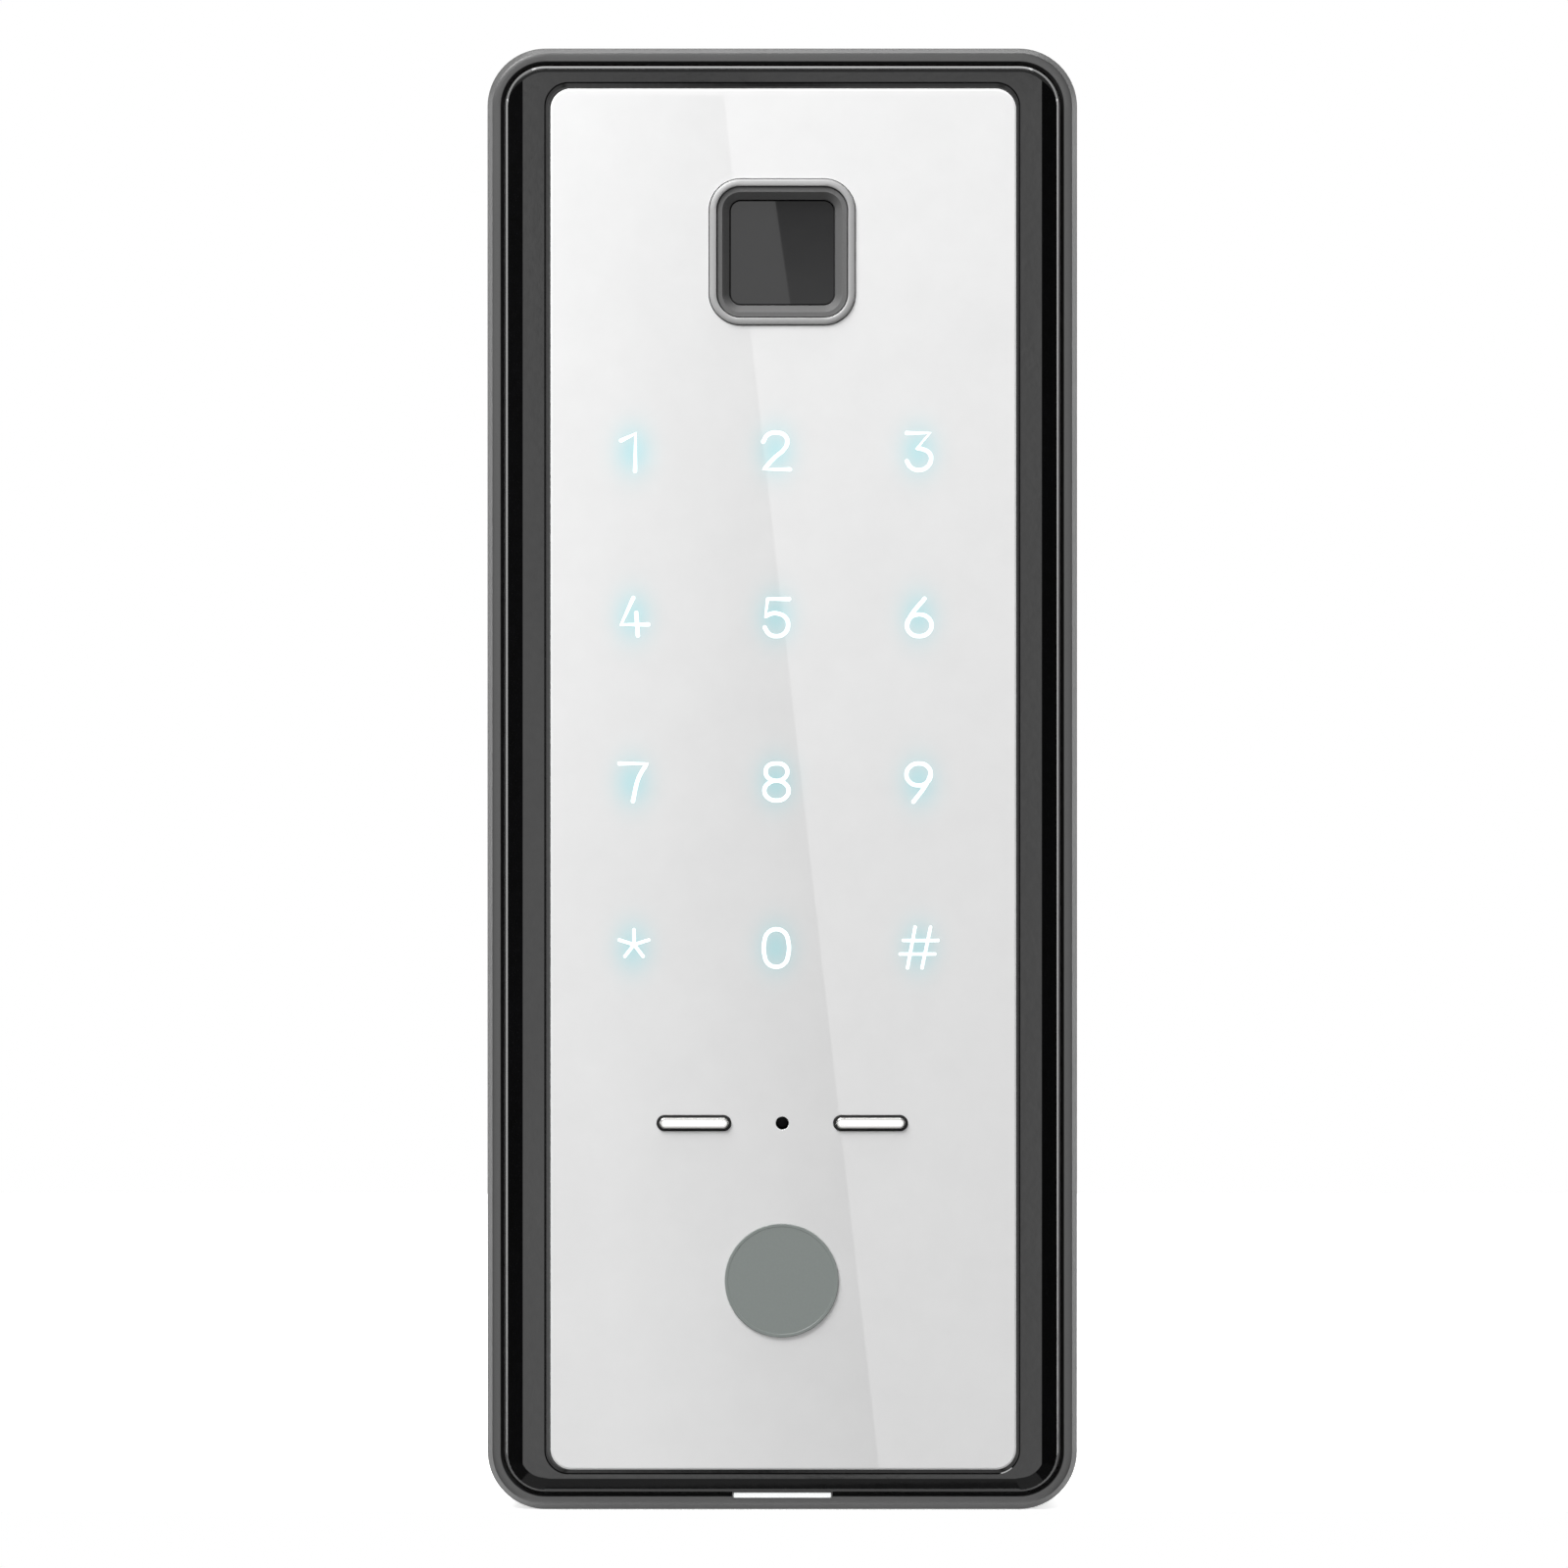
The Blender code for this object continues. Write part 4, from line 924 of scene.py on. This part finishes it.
bm = carve(bm, rods(screwPlaces, [(rear["boss"], 1.0), (rear["boss"], rear["tongue"])], 32), "UNION")
bm = carve(bm, rods([tamperPlace], [(rear["plungerBoss"], 1.0), (rear["plungerBoss"], 2.3)], 32),
           "UNION")
bm = carve(bm, rods(screwPlaces, flaredHole(rear["seat"], rear["seatDepth"])
                    + [(rear["bore"], rear["seatDepth"]), (rear["bore"], 9.0)], 32))
bm = carve(bm, rods(postPlaces, flaredHole(rear["postHole"], 3.0), 40))
bm = carve(bm, rods([tamperPlace], flaredHole(rear["plungerHole"], 3.0), 40))
outlet = loft([oval(5.0, -1.0), oval(5.0, 0.0), oval(4.6, 0.2), oval(4.6, 1.0), oval(0.6, 1.0),
               oval(0.6, 3.0)], steps=14)
bm = carve(bm, outlet)
groove = loft([inset(1.65, -1.0), inset(1.65, 0.0), inset(1.8, 0.15), inset(1.8, 1.2), inset(4.8, 1.2),
               inset(4.8, 0.15), inset(4.95, 0.0), inset(4.95, -1.0)], ring=True, steps=rear["steps"])
bm = carve(bm, groove)
finishPiece(bm, "rearCover", "texturedBlackAbs", ["rear_case"])

# gasket with two raised lips along its length
bm = loft([
    inset(2.35, 0.06), inset(2.15, 0.15), inset(1.95, 0.35), inset(1.95, 0.9), inset(4.65, 0.9),
    inset(4.65, 0.35), inset(4.45, 0.15), inset(4.25, 0.06), inset(4.0, 0.0), inset(3.75, 0.1),
    inset(3.5, 0.3), inset(3.1, 0.3), inset(2.85, 0.1), inset(2.6, 0.0),
], ring=True, steps=rear["steps"])
finishPiece(bm, "rearSeal", "nitrileRubber", ["rear_gasket"], creaseDegrees=50)

bm = loft([
    oval(3.4, 0.1), oval(3.9, 0.2), oval(4.0, 0.4), oval(4.0, 0.7), oval(0.0, 0.7), oval(0.0, 2.3),
    oval(1.8, 2.3), oval(1.2, 3.2), oval(-3.7, 3.2), oval(-4.0, 2.9), oval(-4.0, 0.45),
    oval(-3.7, 0.2), oval(-3.2, 0.1),
], ring=True, steps=14)
finishPiece(bm, "cableGrommet", "nitrileRubber", ["cable_grommet"],
            creaseDegrees=50)
print("back made")


screw = dict(headRadius=2.8, headBack=1.3, headFront=3.2, shank=1.5, tip=15.4, crossMm=3.0,
             crossWidthMm=0.75, crossDepthMm=1.1, threadMm=1.0)


def crossRecess(middle, back):
    # a cross recess: two tapering blades across each other
    x, z = middle
    tool = None
    for width, height in ((screw["crossMm"], screw["crossWidthMm"]),
                          (screw["crossWidthMm"], screw["crossMm"])):
        blade = loft([(blockAt(middle, width, height), 0.1, back - 0.5),
                      (blockAt(middle, width, height), 0.1, back),
                      (blockAt(middle, width * 0.45, height * 0.7), 0.06,
                       back + screw["crossDepthMm"])], steps=3)
        tool = blade if tool is None else carve(tool, blade, "UNION")
    return tool


head, shank, tip, pitch = screw["headRadius"], screw["shank"], screw["tip"], screw["threadMm"]
back, front = screw["headBack"], screw["headFront"]
profile = [(0.0, back), (1.6, back), (2.3, back + 0.12), (2.65, back + 0.35), (head, back + 0.75),
           (head, front - 0.1), (head - 0.1, front), (shank, front)]
depth = front + 0.6
while depth + pitch < tip - 0.8:
    profile += [(shank * 0.78, depth), (shank * 0.78, depth + pitch * 0.45), (shank, depth + pitch * 0.7)]
    depth += pitch
profile += [(shank * 0.7, tip - 0.6), (0.0, tip)]
for number, middle in enumerate(screwPlaces, 1):
    bm = carve(turned(middle, profile, 32), crossRecess(middle, back))
    finishPiece(bm, f"caseScrew_{number}", "zincPlatedSteel", [f"case_screw_{number}"])

post = dict(radius=4.0, bore=2.1, boreDepth=7.6, threadMm=0.8, threadDepthMm=0.22, flange=6.0,
            flangeBack=3.8, flangeFront=5.2, softMm=0.15)
bore, radius, flange, soft = post["bore"], post["radius"], post["flange"], post["softMm"]
low, high = post["flangeBack"], post["flangeFront"]
for label, middle in zip(("upper", "lower"), postPlaces):
    back, front = depthOf(f"mounting_post_{label}")
    outside = [(bore + 0.35, back), (radius - 0.4, back), (radius - 0.12, back + 0.12),
               (radius, back + 0.4), (radius, low), (flange - soft, low), (flange, low + soft),
               (flange, high - soft), (flange - soft, high), (radius, high), (radius, front - 0.2),
               (radius - 0.2, front), (0.0, front)]
    inside = [(0.0, post["boreDepth"]), (bore, post["boreDepth"] - 0.2)]
    depth = post["boreDepth"] - 0.6
    while depth > 0.9:
        inside += [(bore, depth), (bore + post["threadDepthMm"], depth - 0.3)]
        depth -= post["threadMm"]
    bm = turned(middle, outside[::-1] + inside[::-1], 48)
    finishPiece(bm, f"mountingPost_{label}", "zincPlatedSteel", [f"mounting_post_{label}"])

plungerBack, plungerFront = depthOf("tamper_plunger")
bm = turned(tamperPlace, [
    (0.0, plungerBack), (1.2, plungerBack), (1.9, plungerBack + 0.1), (2.25, plungerBack + 0.3),
    (2.4, plungerBack + 0.7), (2.4, 2.7), (3.9, 2.7), (4.0, 2.8), (4.0, 3.4), (3.9, 3.5), (1.2, 3.5),
    (1.2, plungerFront - 0.2), (1.0, plungerFront), (0.0, plungerFront)], 40)
finishPiece(bm, "tamperPlunger", "creamPbt", ["tamper_plunger"], body="tamper")

# compression spring with closed, ground ends; travel is how far the plunger presses it
spring = dict(wire=0.25, radius=2.05, back=3.6, front=7.2, closed=0.75, closedRise=0.1, turns=3.4,
              steps=20, travel=1.5)
w = spring
bm = bmesh.new()
ring = bmesh.ops.create_circle(bm, cap_ends=True, radius=w["wire"], segments=10)["verts"]
start = (tamperPlace[0] + w["radius"], -(w["back"] + w["wire"]), tamperPlace[1])
bmesh.ops.translate(bm, vec=start, verts=ring)
endRise = w["closed"] * w["closedRise"]
length = w["front"] - w["back"]
end = bm.faces[:]
for turns, rise in ((w["closed"], endRise), (w["turns"], length - 2 * w["wire"] - 2 * endRise),
                    (w["closed"], endRise)):
    steps = max(6, round(turns * w["steps"]))
    section = end + [edge for face in end for edge in face.edges]
    section += [vertex for face in end for vertex in face.verts]
    made = bmesh.ops.spin(bm, geom=section, cent=(tamperPlace[0], 0, tamperPlace[1]), axis=(0, 1, 0),
                          dvec=(0, -rise / steps, 0), angle=2 * math.pi * turns, steps=steps)
    end = [part for part in made["geom_last"] if isinstance(part, bmesh.types.BMFace)]
bmesh.ops.recalc_face_normals(bm, faces=bm.faces)
coil = finishPiece(bm, "tamperSpring", "springWire", ["tamper_spring"],
                   creaseDegrees=50)
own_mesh(coil)
print("fastenings and spring made")


# the inside parts keep their CAD shape and only get a finish
kept = {
    "solderMask": ["touch_sheet", "sensor_board", "main_board"],
    "texturedBlackAbs": ["glass_tape", "led_shroud"],
    "nitrileRubber": ["sensor_seal"],
    "zincPlatedSteel": ["chassis_plate", "capacitor"] + [f"board_screw_{k}" for k in range(1, 5)],
    "brightNickel": ["contact_pin_left", "contact_pin_right"],
    "polyimideFilm": ["sensor_flex"],
    "creamPbt": ["flex_connector", "indicator_led", "cable_socket"]
    + [f"key_led_{k}" for k in range(1, 13)],
    "mouldedEpoxy": ["reset_switch", "reset_button", "controller_chip", "buzzer", "tamper_switch"],
    "opalSheet": ["light_diffuser"],
}
for finish, nodes in kept.items():
    for node in nodes:
        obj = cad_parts[node]
        obj.data.materials.clear()
        obj.data.materials.append(finishes[finish])
print("kept parts finished:", sum(len(nodes) for nodes in kept.values()))
